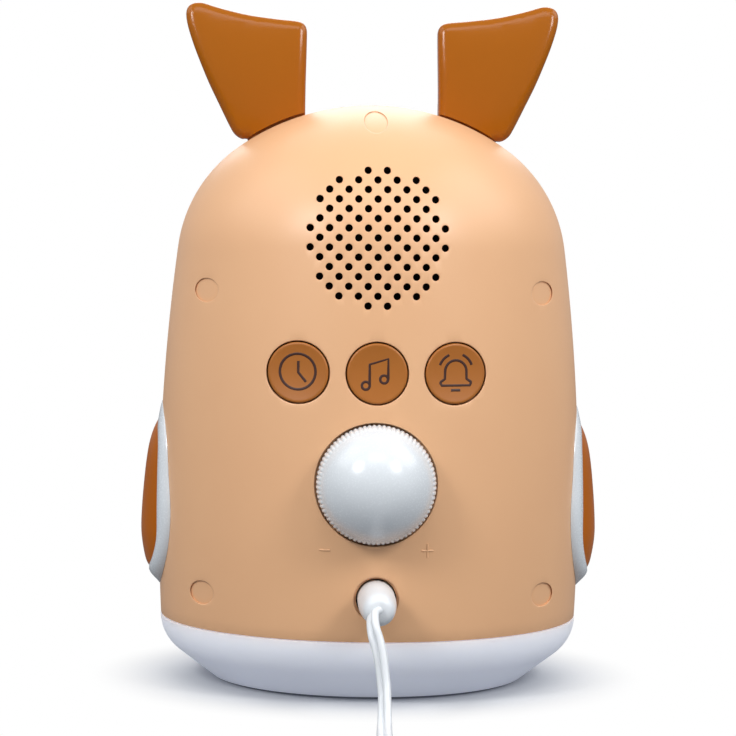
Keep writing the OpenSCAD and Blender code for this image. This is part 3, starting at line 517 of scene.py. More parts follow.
# Each stop is x, y, z and the angle that the flat lead's wide side makes with level.
LEAD_W = 3.9
LEAD_T = 2.0
LEAD_ROUTE = [
    (0.2, 76.9, 27.6, -44), (1.2, 78.6, 27.2, -52), (1.4, 80.6, 25.9, -60), (1.05, 82.3, 23.6, -66),
    (0.15, 83.6, 20.5, -70), (-0.55, 84.7, 17.1, -70), (-1, 85.8, 13.7, -66),
    (-1.35, 87.2, 10.3, -58), (-1.4, 89, 7.1, -48), (-1.3, 91.6, 4.2, -36), (-1.15, 95, 2.2, -26),
    (-1.05, 99, 1.5, -20), (-1, 104, 1.36, -16), (-1.2, 112, 1.46, -22), (-1.7, 122, 1.76, -45),
    (-2.2, 132, 2, -75), (-2.5, 142, 2.01, -90), (-2.55, 150, 2, -90), (-2.6, 157.5, 2, -90),
]
TAIL_ROUTE = [
    (-2.6, 157.5, 5.9, -90), (-2.2, 161, 5.8, -92), (-1, 164.6, 5.5, -96), (1.4, 167.8, 5, -102),
    (4.6, 169.9, 4.5, -108), (8.2, 170.8, 4.1, -120), (12, 171, 4, -150), (15.5, 171, 4, -180),
]
COIL_CENTRE = Vector((-27.3, 157.5, 0))
COIL_OUTER = 24.7
COIL_PITCH = 2.1
COIL_COLUMNS = 4
COIL_LAYERS = (2.0, 5.9)
COIL_STEP_ARC = radians(60)
COIL_POINTS = 48


def smooth_route(stops, steps):
    """A smooth line through the stops, with steps points from one to the next"""
    def stop(i):
        return Vector(stops[max(0, min(len(stops) - 1, i))])
    line = []
    for i in range(len(stops) - 1):
        a, b, c, d = (stop(i + k) for k in (-1, 0, 1, 2))
        for k in range(steps):
            t = k / steps
            line.append(0.5 * (2 * b + (c - a) * t + (2 * a - 5 * b + 4 * c - d) * t**2
                               + (3 * b - a - 3 * c + d) * t**3))
    line.append(stop(len(stops) - 1))
    return line


def eased(t):
    t = max(0, min(1, t))
    return t * t * (3 - 2 * t)


def coil_route():
    """Turns that lie in columns side by side and cross to the next column in one short arc. The
    lower layer winds in, the innermost turn climbs, and the upper layer winds out."""
    turns = 2 * COIL_COLUMNS
    line = []
    for i in range(1, turns * COIL_POINTS):
        turn, part = divmod(i, COIL_POINTS)
        angle = 2 * pi * part / COIL_POINTS
        left = 2 * pi - angle
        cross = eased(1 - left / COIL_STEP_ARC)
        climb = eased(1 - (left - COIL_STEP_ARC) / COIL_STEP_ARC)
        column = turn if turn < COIL_COLUMNS else turns - 1 - turn
        shift = 0
        if turn < COIL_COLUMNS - 1:
            shift = cross
        elif COIL_COLUMNS <= turn < turns - 1:
            shift = -cross
        radius = COIL_OUTER - COIL_PITCH * (column + shift)
        rise = (turn >= COIL_COLUMNS) + (climb if turn == COIL_COLUMNS - 1 else 0)
        z = COIL_LAYERS[0] + (COIL_LAYERS[1] - COIL_LAYERS[0]) * rise
        place = COIL_CENTRE + radius * Vector((cos(angle), sin(angle), 0))
        line.append(Vector((place.x, place.y, z, -90)))
    return line


def twin_section(steps=9):
    """The lead's outline across its run, as (wide, thin): two round cores side by side"""
    radius = LEAD_T / 2
    offset = LEAD_W / 2 - radius
    waist = 180 - abs(asin(offset / radius) - pi / 2) * 180 / pi
    lobe = arc((offset, 0), radius, -waist, waist, steps)[:-1]
    return lobe + [(-w, -t) for w, t in lobe]


def twin_lead(line):
    """Rings of the lead's outline along a line of x, y, z and turn"""
    section = twin_section()
    rows = []
    for i, stop in enumerate(line):
        before = line[max(0, i - 1)].xyz
        after = line[min(len(line) - 1, i + 1)].xyz
        way = (after - before).normalized()
        level = way.cross(Vector((0, 0, 1)))
        level = level.normalized() if level.length > 0.1 else Vector((1, 0, 0))
        rise = level.cross(way)
        turn = radians(stop.w)
        wide = cos(turn) * level + sin(turn) * rise
        thin = way.cross(wide)
        rows.append([stop.xyz + w * wide + t * thin for w, t in section])
    return loft(rows)


def make_lead():
    line = smooth_route(LEAD_ROUTE, 4)
    line += coil_route()
    line += smooth_route(TAIL_ROUTE, 4)
    lead = finish(twin_lead(line), "twin_lead", lead_pvc, "power_lead", 70)
    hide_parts("lead_cord", "cord_coil", "lead_tail")
    path = [stop.xyz * 0.001 for stop in line]
    length = sum((b - a).length for a, b in zip(path, path[1:]))
    return lead, path, length


PLUG_OUTLINE = [
    (0, 48.2), (4.3, 48.2), (4.6, 48.32), (4.75, 48.65), (4.75, 62), (4.7, 65.5), (4.55, 68.6),
    (4.35, 71.3), (4.12, 73.6), (3.85, 75), (3.45, 76), (2.9, 76.62), (2.2, 76.92), (1.4, 77),
    (0, 77),
]


def make_plug():
    """The moulded grip of the barrel plug, rounded at its end"""
    grip = lathe(PLUG_OUTLINE, 64, "Y", (JACK_X, JACK_Z))
    grip = cut(grip, rod(JACK_X, JACK_Z, 47, 52.2, 2.76, 48))
    plug = finish(grip, "barrel_plug_grip", lead_pvc, "power_lead", 40)
    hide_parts("dc_plug")
    return plug


USB_GRIP_X = (15, 36)
USB_GRIP_SIZE = (15, 8)
USB_Y = 171


def rounded_box(low, high, rounding, segments=4):
    """A block with all its edges rounded"""
    bm = bmesh.new()
    bmesh.ops.create_cube(bm, size=1)
    size = Vector(high) - Vector(low)
    bmesh.ops.scale(bm, vec=size, verts=bm.verts)
    bmesh.ops.translate(bm, vec=Vector(low) + size / 2, verts=bm.verts)
    bmesh.ops.bevel(bm, geom=bm.edges[:], offset=rounding, offset_type="OFFSET", segments=segments,
                    profile=0.5, affect="EDGES", material=-1)
    return bm


def make_usb_grip():
    """The moulded grip of the USB plug, with five finger grooves across its top"""
    half_w = USB_GRIP_SIZE[0] / 2
    top = USB_GRIP_SIZE[1]
    grip = rounded_box((USB_GRIP_X[0], USB_Y - half_w, 0), (USB_GRIP_X[1], USB_Y + half_w, top), 2.2)
    for i in range(5):
        x = USB_GRIP_X[0] + 5.5 + 2.2 * i
        groove = rounded_box((x, USB_Y - 5, top - 0.5), (x + 1, USB_Y + 5, top + 2), 0.3, 2)
        grip = cut(grip, groove)
    piece = finish(grip, "usb_plug_grip", lead_pvc, "power_lead", 40)
    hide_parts("usb_grip")
    return piece


def make_tie():
    """A flat strap that holds the coil together"""
    inner = COIL_OUTER - COIL_PITCH * (COIL_COLUMNS - 1) - LEAD_T / 2
    outer = COIL_OUTER + LEAD_T / 2
    top = COIL_LAYERS[1] + LEAD_W / 2
    corners = [
        (inner - 0.1, 0.5), (inner + 0.3, 0.1), (outer - 0.3, 0.1), (outer + 0.1, 0.5),
        (outer + 0.1, top - 0.4), (outer - 0.3, top + 0.1), (inner + 0.3, top + 0.1),
        (inner - 0.1, top - 0.4),
    ]
    middle = ((inner + outer) / 2, top / 2)
    rows = []
    for side, grow in ((-1, 0), (-1, 0.35), (1, 0.35), (1, 0)):
        row = []
        for r, z in corners:
            way = Vector((r - middle[0], z - middle[1])).normalized()
            lift = max(0.04, z + grow * way.y)
            row.append((r + grow * way.x, side * 1.6, lift))
        rows.append(row)
    strap = loft(rows, closed=True)
    spin = Matrix.Translation(COIL_CENTRE) @ Matrix.Rotation(radians(205), 4, "Z")
    bmesh.ops.transform(strap, matrix=spin, verts=strap.verts)
    return finish(strap, "coil_tie", black_epoxy, "power_lead", 40)


def make_power_lead():
    lead, path, length = make_lead()
    plug = make_plug()
    grip = make_usb_grip()
    tie = make_tie()


make_power_lead()

# --- Shells --------------------------------------------------------------------------------------

def shell_half(side):
    """One half of the body's wall: the back for side 1, the front for side -1"""
    lip = 0.3
    outer = body_outline(0, SEAM_Z + lip)
    low_r = body_radius(SEAM_Z)
    inner = body_outline(WALL, SEAM_Z, 20)
    rim = [(low_r - 0.04, SEAM_Z + 0.15), (low_r - 0.15, SEAM_Z + 0.04), (low_r - lip, SEAM_Z)]
    bm = lathe(outer + rim + inner[::-1], 256)
    sliced = bmesh.ops.bisect_plane(
        bm, geom=bm.verts[:] + bm.edges[:] + bm.faces[:], dist=1e-6, plane_co=(0, PARTING_Y, 0),
        plane_no=(0, -side, 0), clear_outer=True,
    )
    edges = [part for part in sliced["geom_cut"] if isinstance(part, bmesh.types.BMEdge)]
    bmesh.ops.triangle_fill(bm, edges=edges, use_beauty=True)
    bmesh.ops.recalc_face_normals(bm, faces=bm.faces)
    return bm


def within_wall(parts):
    """Posts and cups, kept inside the middle of the wall"""
    core = lathe(body_outline(WALL / 2, SEAM_Z, 24) + [(0, SEAM_Z)], 160)
    return cut(joined(parts), core, "INTERSECT")


def parting_groove():
    """A fine groove along the line where the two shells meet"""
    outline = body_outline(0, SEAM_Z - 1, 40)
    half = [(sqrt(max(0, r * r - PARTING_Y**2)), z) for r, z in outline if r > PARTING_Y]
    path = [(-x, z) for x, z in half[::-1]] + half
    depth = 0.3
    rows = []
    for i, (x, z) in enumerate(path):
        x0, z0 = path[max(0, i - 1)]
        x1, z1 = path[min(len(path) - 1, i + 1)]
        way = Vector((x1 - x0, z1 - z0)).normalized()
        out = Vector((-way.y, way.x))
        rows.append([
            (x - depth * out.x, PARTING_Y, z - depth * out.y), (x, PARTING_Y + 0.2, z),
            (x + out.x, PARTING_Y + 0.9, z + out.y), (x + out.x, PARTING_Y - 0.9, z + out.y),
            (x, PARTING_Y - 0.2, z),
        ])
    return loft(rows)


def grille_spots():
    """Rows half a pitch apart, with every other row moved by half a pitch"""
    spots = []
    for row in range(-7, 8):
        for k in range(-5, 6):
            x = (k + (0.5 if row % 2 else 0)) * GRILLE_PITCH
            z = row * GRILLE_PITCH / 2
            if hypot(x, z) <= GRILLE_REACH:
                spots.append((x, GRILLE_Z + z))
    return spots


def make_rear_shell():
    shell = shell_half(1)
    posts = [rod(x, z, PARTING_Y, 58, BOSS_R, 48) for x, z in SCREW_SPOTS]
    posts += [rod(x, z, 31, 58, 3, 32) for x, z in BOARD_POSTS]
    posts += [rod(k * BUTTON_PITCH, BUTTON_Z, COLLAR_Y, 58, COLLAR_R) for k in (-1, 0, 1)]
    posts += [rod(0, KNOB_Z, KNOB_FLOOR_Y - KNOB_CUP_T, 58, KNOB_CUP_R, 96)]
    posts += [rod(JACK_X, JACK_Z, 40, 58, JACK_CUP_R)]
    for post in posts:
        shell = cut(shell, within_wall([post]), "UNION")
    tools = [hole(x, z, GRILLE_HOLE_R, 38, 0.12, 20) for x, z in grille_spots()]
    tools += [hole(k * BUTTON_PITCH, BUTTON_Z, BUTTON_R + BUTTON_GAP, 30, 0.3) for k in (-1, 0, 1)]
    tools += [hole(0, KNOB_Z, KNOB_WELL_R, KNOB_FLOOR_Y, 0.3, 128)]
    tools += [hole(JACK_X, JACK_Z, JACK_HOLE_R, JACK_STEP_Y, 0.4)]
    tools += [hole(x, z, SCREW_WELL_R, SCREW_SEAT_Y, 0.25, 48) for x, z in SCREW_SPOTS]
    shell = cut(shell, joined(tools))
    bores = [rod(JACK_X, JACK_Z, 30, JACK_FLOOR_Y, JACK_R), rod(0, KNOB_Z, 40, 56, 4.2, 48)]
    shell = cut(shell, joined(bores))
    shell = cut(shell, rod(JACK_X, JACK_Z, 44, JACK_STEP_Y + 1, JACK_NECK_R))
    shell = cut(shell, parting_groove())
    piece = finish(shell, "back_shell", peach_abs)
    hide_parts("rear_shell")


def window_rows(grow, depths):
    """Rings of the display window's outline on the front's skin, one for each (inset, depth)"""
    corner = WINDOW_CORNER + grow
    half_w = WINDOW_W / 2 + grow
    half_h = WINDOW_H / 2 + grow
    rows = []
    for inset, depth in depths:
        row = []
        for cx, cz, start in ((1, 1, 0), (-1, 1, 90), (-1, -1, 180), (1, -1, 270)):
            centre = (cx * (half_w - corner), cz * (half_h - corner))
            turn = arc(centre, corner - inset, start, start + 90, 10)
            row += turn
            ends = {0: (-1, 0), 90: (0, -1), 180: (1, 0), 270: (0, 1)}[start]
            run = 2 * (half_w - corner if ends[0] else half_h - corner)
            steps = 14 if ends[0] else 6
            last = turn[-1]
            row += [(last[0] + ends[0] * run * i / steps, last[1] + ends[1] * run * i / steps)
                    for i in range(1, steps)]
        rows.append([(x, -(skin(x, WINDOW_Z + z) - depth), WINDOW_Z + z) for x, z in row])
    return rows


def make_front_shell():
    shell = shell_half(-1)
    tool = window_rows(0, [(0, 8), (0, 0.4), (-0.06, 0.2), (-0.2, 0.06), (-0.6, -0.06), (-0.6, -3)])
    shell = cut(shell, loft(tool))
    shell = cut(shell, parting_groove())
    piece = finish(shell, "face_shell", peach_abs)
    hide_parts("front_shell")


def make_screw_plugs():
    """Five plugs that cover the screws, sunk a little in their wells"""
    plugs = []
    for x, z in SCREW_SPOTS:
        edge = 0.05
        rows = [flat_ring(x, z, SCREW_PLUG_R, skin(x, z) - 9, 48)]
        for turn in (0, 30, 60, 90):
            inset = edge * (1 - cos(radians(turn)))
            depth = SCREW_PLUG_SUNK + edge * (1 - sin(radians(turn)))
            rows.append(ring(x, z, SCREW_PLUG_R - inset, depth, count=48))
        for radius in (1.8, 1.0, 0.3):
            rows.append(ring(x, z, radius, SCREW_PLUG_SUNK, count=48))
        plugs.append(loft(rows))
    piece = finish(joined(plugs), "well_plugs", peach_abs)
    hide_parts("screw_plugs")


def make_volume_marks():
    """A raised minus and plus on the back, in the body's own colour"""
    reach = 1.3
    lines = [
        [(12.8 - reach, 40.2), (12.8 + reach, 40.2)],
        [(-13.1 - 1.5, 40.2), (-13.1 + 1.5, 40.2)],
        [(-13.1, 40.2 - 1.8), (-13.1, 40.2 + 1.8)],
    ]
    marks = joined([stroke(line, 0.5, skin, 0.22) for line in lines])
    finish(marks, "volume_marks", peach_abs, crease=50)


make_rear_shell()
make_front_shell()
make_screw_plugs()
make_volume_marks()

# --- Ears ----------------------------------------------------------------------------------------

EAR_Y = -9
EAR_GAP = 1.1
EAR_EDGE = 4.3
EAR_CROWN = 0.7
EAR_CROWN_REACH = 8
EAR_ROUNDING = 2.2
EAR_LEAN_Z = 151
EAR_SEAT = ((18.1, -13.2, 138), (33.1, -7, 155))
EAR_STOPS = [
    (18.05, 141), (18.05, 151), (18, 159), (17.85, 166), (17.75, 172.4), (17.85, 174.2),
    (18.4, 175.5), (19.5, 176.25), (21.6, 176.6), (25, 176.9), (29, 177.35), (33, 177.9),
    (37, 178.7), (40.5, 179.55), (43.5, 180.4), (45.8, 181.1), (47.5, 181.2), (49.1, 180.8),
    (50.15, 179.7), (50.5, 178.1), (50.2, 175.7), (49.4, 172.8), (48.1, 169), (46.15, 164.1),
    (44.05, 159.2), (41.65, 154.3), (39.25, 149.4), (38.1, 147.2), (37.35, 146), (36.2, 145),
    (35, 144.5), (33.7, 144.5), (32.5, 143), (25, 141),
]


def edge_distance(point, outline):
    """How far a point lies from a closed outline"""
    nearest = 100
    for a, b in zip(outline, outline[1:] + outline[:1]):
        run = b - a
        t = max(0, min(1, (point - a).dot(run) / run.length_squared))
        nearest = min(nearest, (point - a - t * run).length)
    return nearest


def ear_slab(outline):
    """A slab with rounded edges and gently domed faces that thins as it leans in to its top"""
    bm = bmesh.new()
    face = bm.faces.new([bm.verts.new((x, EAR_EDGE, z)) for x, z in outline])
    made = bmesh.ops.extrude_face_region(bm, geom=[face])["geom"]
    moved = [part for part in made if isinstance(part, bmesh.types.BMVert)]
    bmesh.ops.translate(bm, vec=(0, -2 * EAR_EDGE, 0), verts=moved)
    bmesh.ops.recalc_face_normals(bm, faces=bm.faces)
    around = [
        edge for edge in bm.edges if abs(edge.verts[0].co.y - edge.verts[1].co.y) < 0.1
    ]
    bmesh.ops.bevel(bm, geom=around, offset=EAR_ROUNDING, offset_type="OFFSET", segments=6,
                    profile=0.5, affect="EDGES", material=-1)
    planes = [((x, 0, 0), (1, 0, 0)) for x in range(19, 50, 2)]
    planes += [((0, 0, z), (0, 0, 1)) for z in range(142, 181, 2)]
    for point, way in planes:
        bmesh.ops.bisect_plane(bm, geom=bm.verts[:] + bm.edges[:] + bm.faces[:], dist=1e-5,
                               plane_co=point, plane_no=way)
    for vert in bm.verts:
        inward = edge_distance(Vector((vert.co.x, vert.co.z)), outline)
        swell = 1 - (1 - min(1, inward / EAR_CROWN_REACH)) ** 2
        vert.co.y *= 1 + EAR_CROWN * swell / EAR_EDGE
        drop = 0.005 * max(0, vert.co.z - EAR_LEAN_Z) ** 2
        vert.co.y += EAR_Y - drop * (vert.co.y + 5) / 10
    return bm


def make_ear(side, name):
    """An ear that stands on a narrow seat, clear of the dome"""
    bm = ear_slab(smooth_route(EAR_STOPS, 2))
    bm = cut(bm, lathe(body_outline(-EAR_GAP, 100, 40) + [(0, 100)], 256))
    seat = rounded_box(*EAR_SEAT, 0.3, 1)
    seat = cut(seat, lathe(body_outline(-0.02, 100, 40) + [(0, 100)], 256))
    bm = cut(bm, seat, "UNION")
    if side < 0:
        bmesh.ops.scale(bm, vec=(-1, 1, 1), verts=bm.verts)
        bmesh.ops.reverse_faces(bm, faces=bm.faces)
    piece = finish(bm, "folded_" + name, caramel_abs, crease=40)
    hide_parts(name)


make_ear(1, "ear_left")
make_ear(-1, "ear_right")

# --- Arms ----------------------------------------------------------------------------------------

RIM_BIG = (45.1, 20.4)
RIM_SMALL = (56.5, 17.5)
RIM_T = 2.3
RIM_SHOULDER = 3.2
RIM_INNER = 8
RIM_BAND = 2.6
# How far a rim stands off the skin, as a part of RIM_T, and the height where it does
RIM_RISE = [
    (0.2, 24.2), (0.36, 25.2), (0.7, 26.4), (1.04, 27.6), (1.25, 28.8), (1.28, 30), (1.12, 33.5),
    (1, 38), (0.96, 45), (0.89, 50.5), (0.77, 58), (0.63, 64), (0.5, 68), (0.32, 70.5),
    (0.22, 72.8), (0.16, 74.8),
]
# A pad's reach from its own upright axis, and the height
PAD_AXIS_X = 32.4
PAD_STOPS = [
    (0, 27.9), (20, 28), (24.5, 28.3), (26, 28.9), (26.9, 29.8), (27.6, 31.2), (28.15, 33.5),
    (28.65, 36.5), (28.9, 39.5), (28.85, 43), (28.6, 47.5), (28.2, 52.3), (27.7, 57.2),
    (27, 61.8), (26.05, 65.4), (24.95, 68), (24.1, 69.2), (22.5, 70), (18, 70.3), (0, 70.4),
]


def egg(grow, per_turn=96, per_side=10):
    """An egg's outline as (across, height): two circles and the straight sides between them"""
    lean = asin((RIM_BIG[1] - RIM_SMALL[1]) / (RIM_SMALL[0] - RIM_BIG[0]))
    big = arc((0, RIM_BIG[0]), RIM_BIG[1] + grow, 180 - lean * 180 / pi, 360 + lean * 180 / pi,
              per_turn // 2)
    small = arc((0, RIM_SMALL[0]), RIM_SMALL[1] + grow, lean * 180 / pi, 180 - lean * 180 / pi,
                per_turn // 3)
    points = []
    for near, far in ((big, small), (small, big)):
        points += near
        a, b = Vector(near[-1]), Vector(far[0])
        points += [tuple(a.lerp(b, i / per_side)) for i in range(1, per_side)]
    return points


def rim_height(z, line):
    """How far a rim stands off the skin at height z"""
    for low, high in zip(line, line[1:]):
        if z <= high.y:
            return RIM_T * low.lerp(high, max(0, (z - low.y) / (high.y - low.y))).x
    return RIM_T * line[-1].x


def side_ring(side, grow, part, line):
    """The egg's outline on the body's side, at a part of the rim's height above the skin"""
    ring_points = []
    for y, z in egg(grow):
        radius = body_radius(z) + part * rim_height(z, line)
        ring_points.append((side * sqrt(radius**2 - y * y), y, z))
    return ring_points


def make_arm(side, name):
    """A white rim that rounds down to the skin, and the brown pad that domes out of it"""
    line = smooth_route(RIM_RISE, 3)
    stations = [(-RIM_INNER, 0.02)] + [
        (-RIM_SHOULDER * (1 - cos(radians(turn))), max(0.02, sin(radians(turn))))
        for turn in (0, 8, 17, 27, 38, 50, 63, 76, 90)
    ] + [(-RIM_INNER, 1)]
    rim = loft([side_ring(side, grow, part, line) for grow, part in stations], closed=True)
    white = finish(rim, "arm_border_" + name, white_abs, crease=50)
    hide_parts("arm_rim_" + name)
    pad = lathe(smooth_route(PAD_STOPS, 3), 256, "Z", (side * PAD_AXIS_X, 0))
    pad = cut(pad, lathe(body_outline(-0.5, 10, 30) + [(0, 10)], 256))
    low, high = sorted((side * 30, side * 70))
    room = loft([[(x, y, z) for y, z in egg(-RIM_BAND)] for x in (low, high)])
    pad = cut(pad, room, "INTERSECT")
    brown = finish(pad, "arm_dome_" + name, pad_abs, crease=50)
    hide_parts("arm_pad_" + name)


make_arm(1, "left")
make_arm(-1, "right")

# --- Buttons -------------------------------------------------------------------------------------

# Symbols are drawn as lines of (right, up) points from the button's middle, seen from behind.
CLOCK = [
    (arc((-0.1, 0.2), 4.47, 0, 360, 40)[:-1], True),
    ([(0.05, 2.85), (0.05, 0), (2.0, -2.35)], False),
]
MUSIC = [
    (arc((-2.87, -3.0), 0.98, 0, 360, 20)[:-1], True),
    (arc((1.72, -1.4), 0.98, 0, 360, 20)[:-1], True),
    ([(-1.9, -3.0), (-1.9, 2.3), (2.75, 3.75), (2.75, -1.4)], False),
]
BELL = [
    ([(-3.5, -2.95)] + arc((-3.3, -2.3), 0.5, 200, 100, 4) + [(-2.7, -1.3)]
     + arc((0.1, 0.6), 2.75, 180, 0, 16) + [(2.9, -1.3)] + arc((3.5, -2.3), 0.5, 80, -20, 4)
     + [(3.7, -2.95)], True),
    ([(-1.1, -4.15), (1.3, -4.15)], False),
    (arc((0.1, 0.7), 4.35, 160, 113, 8), False),
    (arc((0.1, 0.7), 4.35, 20, 67, 8), False),
]
BUTTON_DISH = 0.7
INK_W = 0.68
INK_LIFT = 0.06
FLANGE_R = 8.6
STEM_R = 1.6


def dish(radius):
    """Depth of a button's shallow dish at a radius"""
    return BUTTON_DISH * max(0, 1 - (radius / (BUTTON_R - 0.45)) ** 2)


def make_button(k, name, symbol):
    """A round dished cap that follows the body's skin, with a flange and a stem behind it"""
    x = k * BUTTON_PITCH
    edge = 0.45
    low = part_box("button_" + name)[0].y * 1000
    rows = [flat_ring(x, BUTTON_Z, r, y) for r, y in (
        (STEM_R, low), (STEM_R, COLLAR_Y - 1.9), (FLANGE_R, COLLAR_Y - 1.9),
        (FLANGE_R, COLLAR_Y - 0.2), (BUTTON_R, COLLAR_Y - 0.2))]
    for turn in (0, 22, 45, 68, 90):
        inset = edge * (1 - cos(radians(turn)))
        depth = edge * (1 - sin(radians(turn))) - BUTTON_PROUD
        rows.append(ring(x, BUTTON_Z, BUTTON_R - inset, depth))
    for radius in (6.8, 6.2, 5.4, 4.5, 3.5, 2.4, 1.3, 0.4):
        rows.append(ring(x, BUTTON_Z, radius, dish(radius) - BUTTON_PROUD))
    cap = finish(loft(rows), "cap_" + name, button_abs, "button_" + name)
    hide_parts("button_" + name)

    def top(px, pz):
        return skin(px, pz) + BUTTON_PROUD - dish(hypot(px - x, pz - BUTTON_Z))
    lines = [
        stroke([(x - right, BUTTON_Z + up) for right, up in line], INK_W, top, INK_LIFT, closed)
        for line, closed in symbol
    ]
    finish(joined(lines), "symbol_" + name, symbol_ink, "button_" + name, 60)


make_button(1, "clock", CLOCK)
make_button(0, "music", MUSIC)
make_button(-1, "alarm", BELL)

# --- Volume knob ---------------------------------------------------------------------------------

KNOB_SMOOTH_R = 14.72
RIB_TOP_Y = 60.8
RIB_FADE = 1.4


def make_knob():
    """A hollow dome with fine ribs round its foot, and a hub on the shaft"""
    inner = KNOB_R - 1.8
    low = KNOB_BASE_Y - KNOB_CENTRE_Y
    foot = asin(low / KNOB_SMOOTH_R) * 180 / pi
    dome = arc((0, KNOB_CENTRE_Y), KNOB_SMOOTH_R, 90, foot, 70)
    dome[0] = (0, dome[0][1])
    base_r = dome[-1][0]
    cup = arc((0, KNOB_CENTRE_Y), inner, asin(low / inner) * 180 / pi, 67, 24)
    hub = [(5.2, cup[-1][1]), (5.2, KNOB_BASE_Y), (3.1, KNOB_BASE_Y), (3.1, 66), (0, 66)]
    outline = dome + [(base_r - 0.3, KNOB_BASE_Y)] + cup + hub
    bm = lathe(outline, RIB_COUNT * 6, "Y", (0, KNOB_Z))
    centre = Vector((0, KNOB_CENTRE_Y, KNOB_Z))
    for vert in bm.verts:
        away = vert.co - centre
        radius = hypot(away.x, away.z)
        if away.length < KNOB_SMOOTH_R - 0.05 or radius < 1:
            continue
        turn = RIB_COUNT * (Vector((away.x, away.z)).angle_signed(Vector((1, 0))) + pi) / 2
        band = eased((RIB_TOP_Y - vert.co.y) / RIB_FADE)
        swell = (KNOB_R - KNOB_SMOOTH_R) * abs(sin(turn)) ** 0.8 * band
        vert.co.x += swell * away.x / radius
        vert.co.z += swell * away.z / radius
    piece = finish(bm, "ribbed_knob", white_abs, "volume", 50)
    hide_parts("volume_knob")


make_knob()

# --- Face ----------------------------------------------------------------------------------------

MUZZLE_Z = 95
MUZZLE_Y = -46.5
MUZZLE_R = 12
MUZZLE_HALF = 6
SEGMENT_LONG = 4.6
SEGMENT_W = 1.1
DIGIT_PITCH = 9.4
DIGIT_SEGMENTS = {"0": "abcdef", "3": "abcdg", "7": "abc"}
SEGMENT_PLACES = {
    "a": (0, 1, True), "b": (0.5, 0.5, False), "c": (0.5, -0.5, False), "d": (0, -1, True),
    "e": (-0.5, -0.5, False), "f": (-0.5, 0.5, False), "g": (0, 0, True),
}


def muzzle_y(x, z):
    """Front of the muzzle, a rounded bar, at x and z"""
    along = max(0, abs(x) - MUZZLE_HALF)
    return MUZZLE_Y - sqrt(max(0, MUZZLE_R**2 - along**2 - (z - MUZZLE_Z) ** 2))


def make_mouth():
    """A short line under the nose that parts into a smile"""
    smile = arc((0, 95.2), 4.6, 215, 325, 16)
    lines = [stroke([(0, 97), (0, 90.6)], 0.7, muzzle_y, -0.12),
             stroke(smile, 0.7, muzzle_y, -0.12)]
    finish(joined(lines), "mouth_line", symbol_ink, crease=60)


def segment(x, z, level):
    """One bar of a digit, with pointed ends"""
    half = SEGMENT_LONG / 2 - 0.15
    thick = SEGMENT_W / 2
    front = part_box("display_module")[0].y * 1000
    corners = [(-half, 0), (-half + thick, -thick), (half - thick, -thick), (half, 0),
               (half - thick, thick), (-half + thick, thick)]
    if not level:
        corners = [(b, a) for a, b in corners][::-1]
    return loft([[(x + a, y, z + b) for a, b in corners] for y in (front, front - 0.15)])


def make_digits():
    """Plain digits on the display, lit behind the window: 07:30"""
    bars = []
    for digit, place in zip("0730", (-1.65, -0.65, 0.65, 1.65)):
        middle = place * DIGIT_PITCH
        for name in DIGIT_SEGMENTS[digit]:
            across, up, level = SEGMENT_PLACES[name]
            x = middle + across * SEGMENT_LONG
            bars.append(segment(x, WINDOW_Z + up * SEGMENT_LONG, level))
    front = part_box("display_module")[0].y * 1000
    for z in (-1.8, 1.8):
        bars.append(rod(0, WINDOW_Z + z, front - 0.15, front, 0.7, 24))
    finish(joined(bars), "lit_digits", lit_segment, crease=30)


make_mouth()
make_digits()

# --- Finishes of the nodes that stay -------------------------------------------------------------

SLOT_FINISH = {
    "shell_peach": peach_abs, "ear_brown": caramel_abs, "button_brown": button_abs,
    "arm_brown": pad_abs, "painted_steel": black_paint,
    "white_plastic": white_abs, "base_milky": milky_pp, "pad_grey": grey_silicone,
    "lead_white": lead_pvc, "black_plastic": black_abs, "window_smoke": smoked_acrylic,
    "board_green": green_mask, "chip_black": black_epoxy, "steel": zinc_steel,
    "contact_brass": bronze_sheet, "lamp_yellow": lamp_phosphor, "ferrite": ferrite,
    "cone_black": paper_cone, "foam": open_foam, "wire": grey_wire,
}
NODE_FINISH = {
    "coin_cell": cell_can, "plug_barrel": nickel_plate,
    "usb_shell": nickel_plate, "jack_pin": nickel_plate, "power_leads": red_wire,
    "speaker_leads": red_wire,
}
for part in frame["record"]["subparts"]:
    chosen = NODE_FINISH.get(part["node"], SLOT_FINISH[part["material_slot"]])
    for place in nodes[part["node"]].material_slots:
        place.material = chosen

# --- Floor and light -----------------------------------------------------------------------------

FLOOR_SIZE = 6.0
FLOOR_BOUNCE = "#777A7E"
# Radii between which the floor's painted grey shade round the clock fades to white.
FLOOR_PAINTED_SHADE_FADE = (0.044, 0.076)
LAMPS = [
    # name, azimuth from the back, elevation, distance, width, height, watts
    ("left_softbox", 42, 34, 0.9, 0.2, 0.24, 3.2),
    ("right_softbox", -42, 34, 0.9, 0.2, 0.24, 2.9),
    ("key_softbox", 0, 56, 1.1, 0.6, 0.36, 1.9),
    ("right_wall", -85, 45, 0.9, 0.5, 0.6, 2.4),
    ("left_wall", 85, 45, 0.9, 0.5, 0.6, 1.5),
    ("face_softbox", 180, 35, 1.0, 0.8, 0.6, 4),
]


def seen_directly(tree):
    """1 where a ray arrives straight from the camera, or through glass"""
    rays = add(tree, "ShaderNodeLightPath")
    both = add(tree, "ShaderNodeMath", {0: rays.outputs["Is Camera Ray"],
                                        1: rays.outputs["Is Transmission Ray"]},
               operation="MAXIMUM")
    return both.outputs[0]


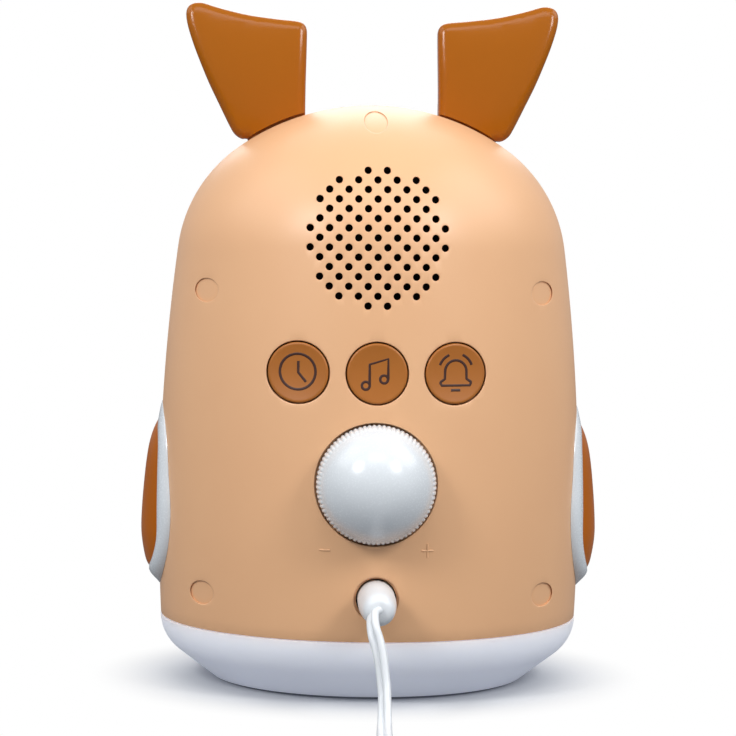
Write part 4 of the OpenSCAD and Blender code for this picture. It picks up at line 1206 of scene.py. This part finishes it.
def make_floor():
    """A floor that is a darker grey near the clock, where it takes the clock's real shadow and adds
    a painted shade round it, and that runs to white further off
    """
    bm = bmesh.new()
    bmesh.ops.create_grid(bm, x_segments=1, y_segments=1, size=FLOOR_SIZE / 2)
    mesh = bpy.data.meshes.new("floor")
    bm.to_mesh(mesh)
    bm.free()
    material = bpy.data.materials.new("pale_table")
    material.use_nodes = True
    tree = material.node_tree
    tree.nodes.clear()
    place = add(tree, "ShaderNodeTexCoord").outputs["Object"]
    reach = add(tree, "ShaderNodeVectorMath", {0: place}, operation="LENGTH")
    fade = add(tree, "ShaderNodeMapRange", {"Value": reach.outputs["Value"],
                                            "From Min": FLOOR_PAINTED_SHADE_FADE[0], "From Max": FLOOR_PAINTED_SHADE_FADE[1]},
               interpolation_type="SMOOTHSTEP")
    # The near floor's darker grey is painted shade round the clock's foot, on top of the real shadow
    # it takes.
    near = add(tree, "ShaderNodeBsdfDiffuse", {"Color": colour("#C8CACE")})
    far = add(tree, "ShaderNodeEmission", {"Color": colour("#FFFFFF")})
    shown = add(tree, "ShaderNodeMixShader", {0: fade.outputs["Result"], 1: near.outputs[0],
                                              2: far.outputs[0]})
    plain = add(tree, "ShaderNodeBsdfDiffuse", {"Color": colour(FLOOR_BOUNCE)})
    both = add(tree, "ShaderNodeMixShader", {0: seen_directly(tree), 1: plain.outputs[0],
                                             2: shown.outputs[0]})
    add(tree, "ShaderNodeOutputMaterial", {"Surface": both.outputs[0]})
    mesh.materials.append(material)
    floor = bpy.data.objects.new("floor", mesh)
    bpy.context.scene.collection.objects.link(floor)


def make_world():
    """White where it is seen, and a soft even light elsewhere"""
    world = bpy.data.worlds.new("studio")
    world.use_nodes = True
    tree = world.node_tree
    tree.nodes.clear()
    light = add(tree, "ShaderNodeBackground", {"Color": colour("#F4F8FF"), "Strength": 0.43})
    white = add(tree, "ShaderNodeBackground", {"Color": colour("#FFFFFF"), "Strength": 1.0})
    both = add(tree, "ShaderNodeMixShader", {0: seen_directly(tree), 1: light.outputs[0],
                                             2: white.outputs[0]})
    add(tree, "ShaderNodeOutputWorld", {"Surface": both.outputs[0]})
    bpy.context.scene.world = world


def make_lamps():
    target = Vector((0, 0, 0.085))
    for name, azimuth, rise, distance, width, height, watts in LAMPS:
        a = radians(azimuth)
        e = radians(rise)
        way = Vector((sin(a) * cos(e), cos(a) * cos(e), sin(e)))
        data = bpy.data.lights.new(name, "AREA")
        data.shape = "RECTANGLE"
        data.size = width
        data.size_y = height
        data.energy = watts
        lamp = bpy.data.objects.new(name, data)
        lamp.location = target + distance * way
        lamp.rotation_euler = way.to_track_quat("Z", "Y").to_euler()
        bpy.context.scene.collection.objects.link(lamp)


make_floor()
make_world()
make_lamps()
bpy.context.scene.view_settings.view_transform = "Standard"
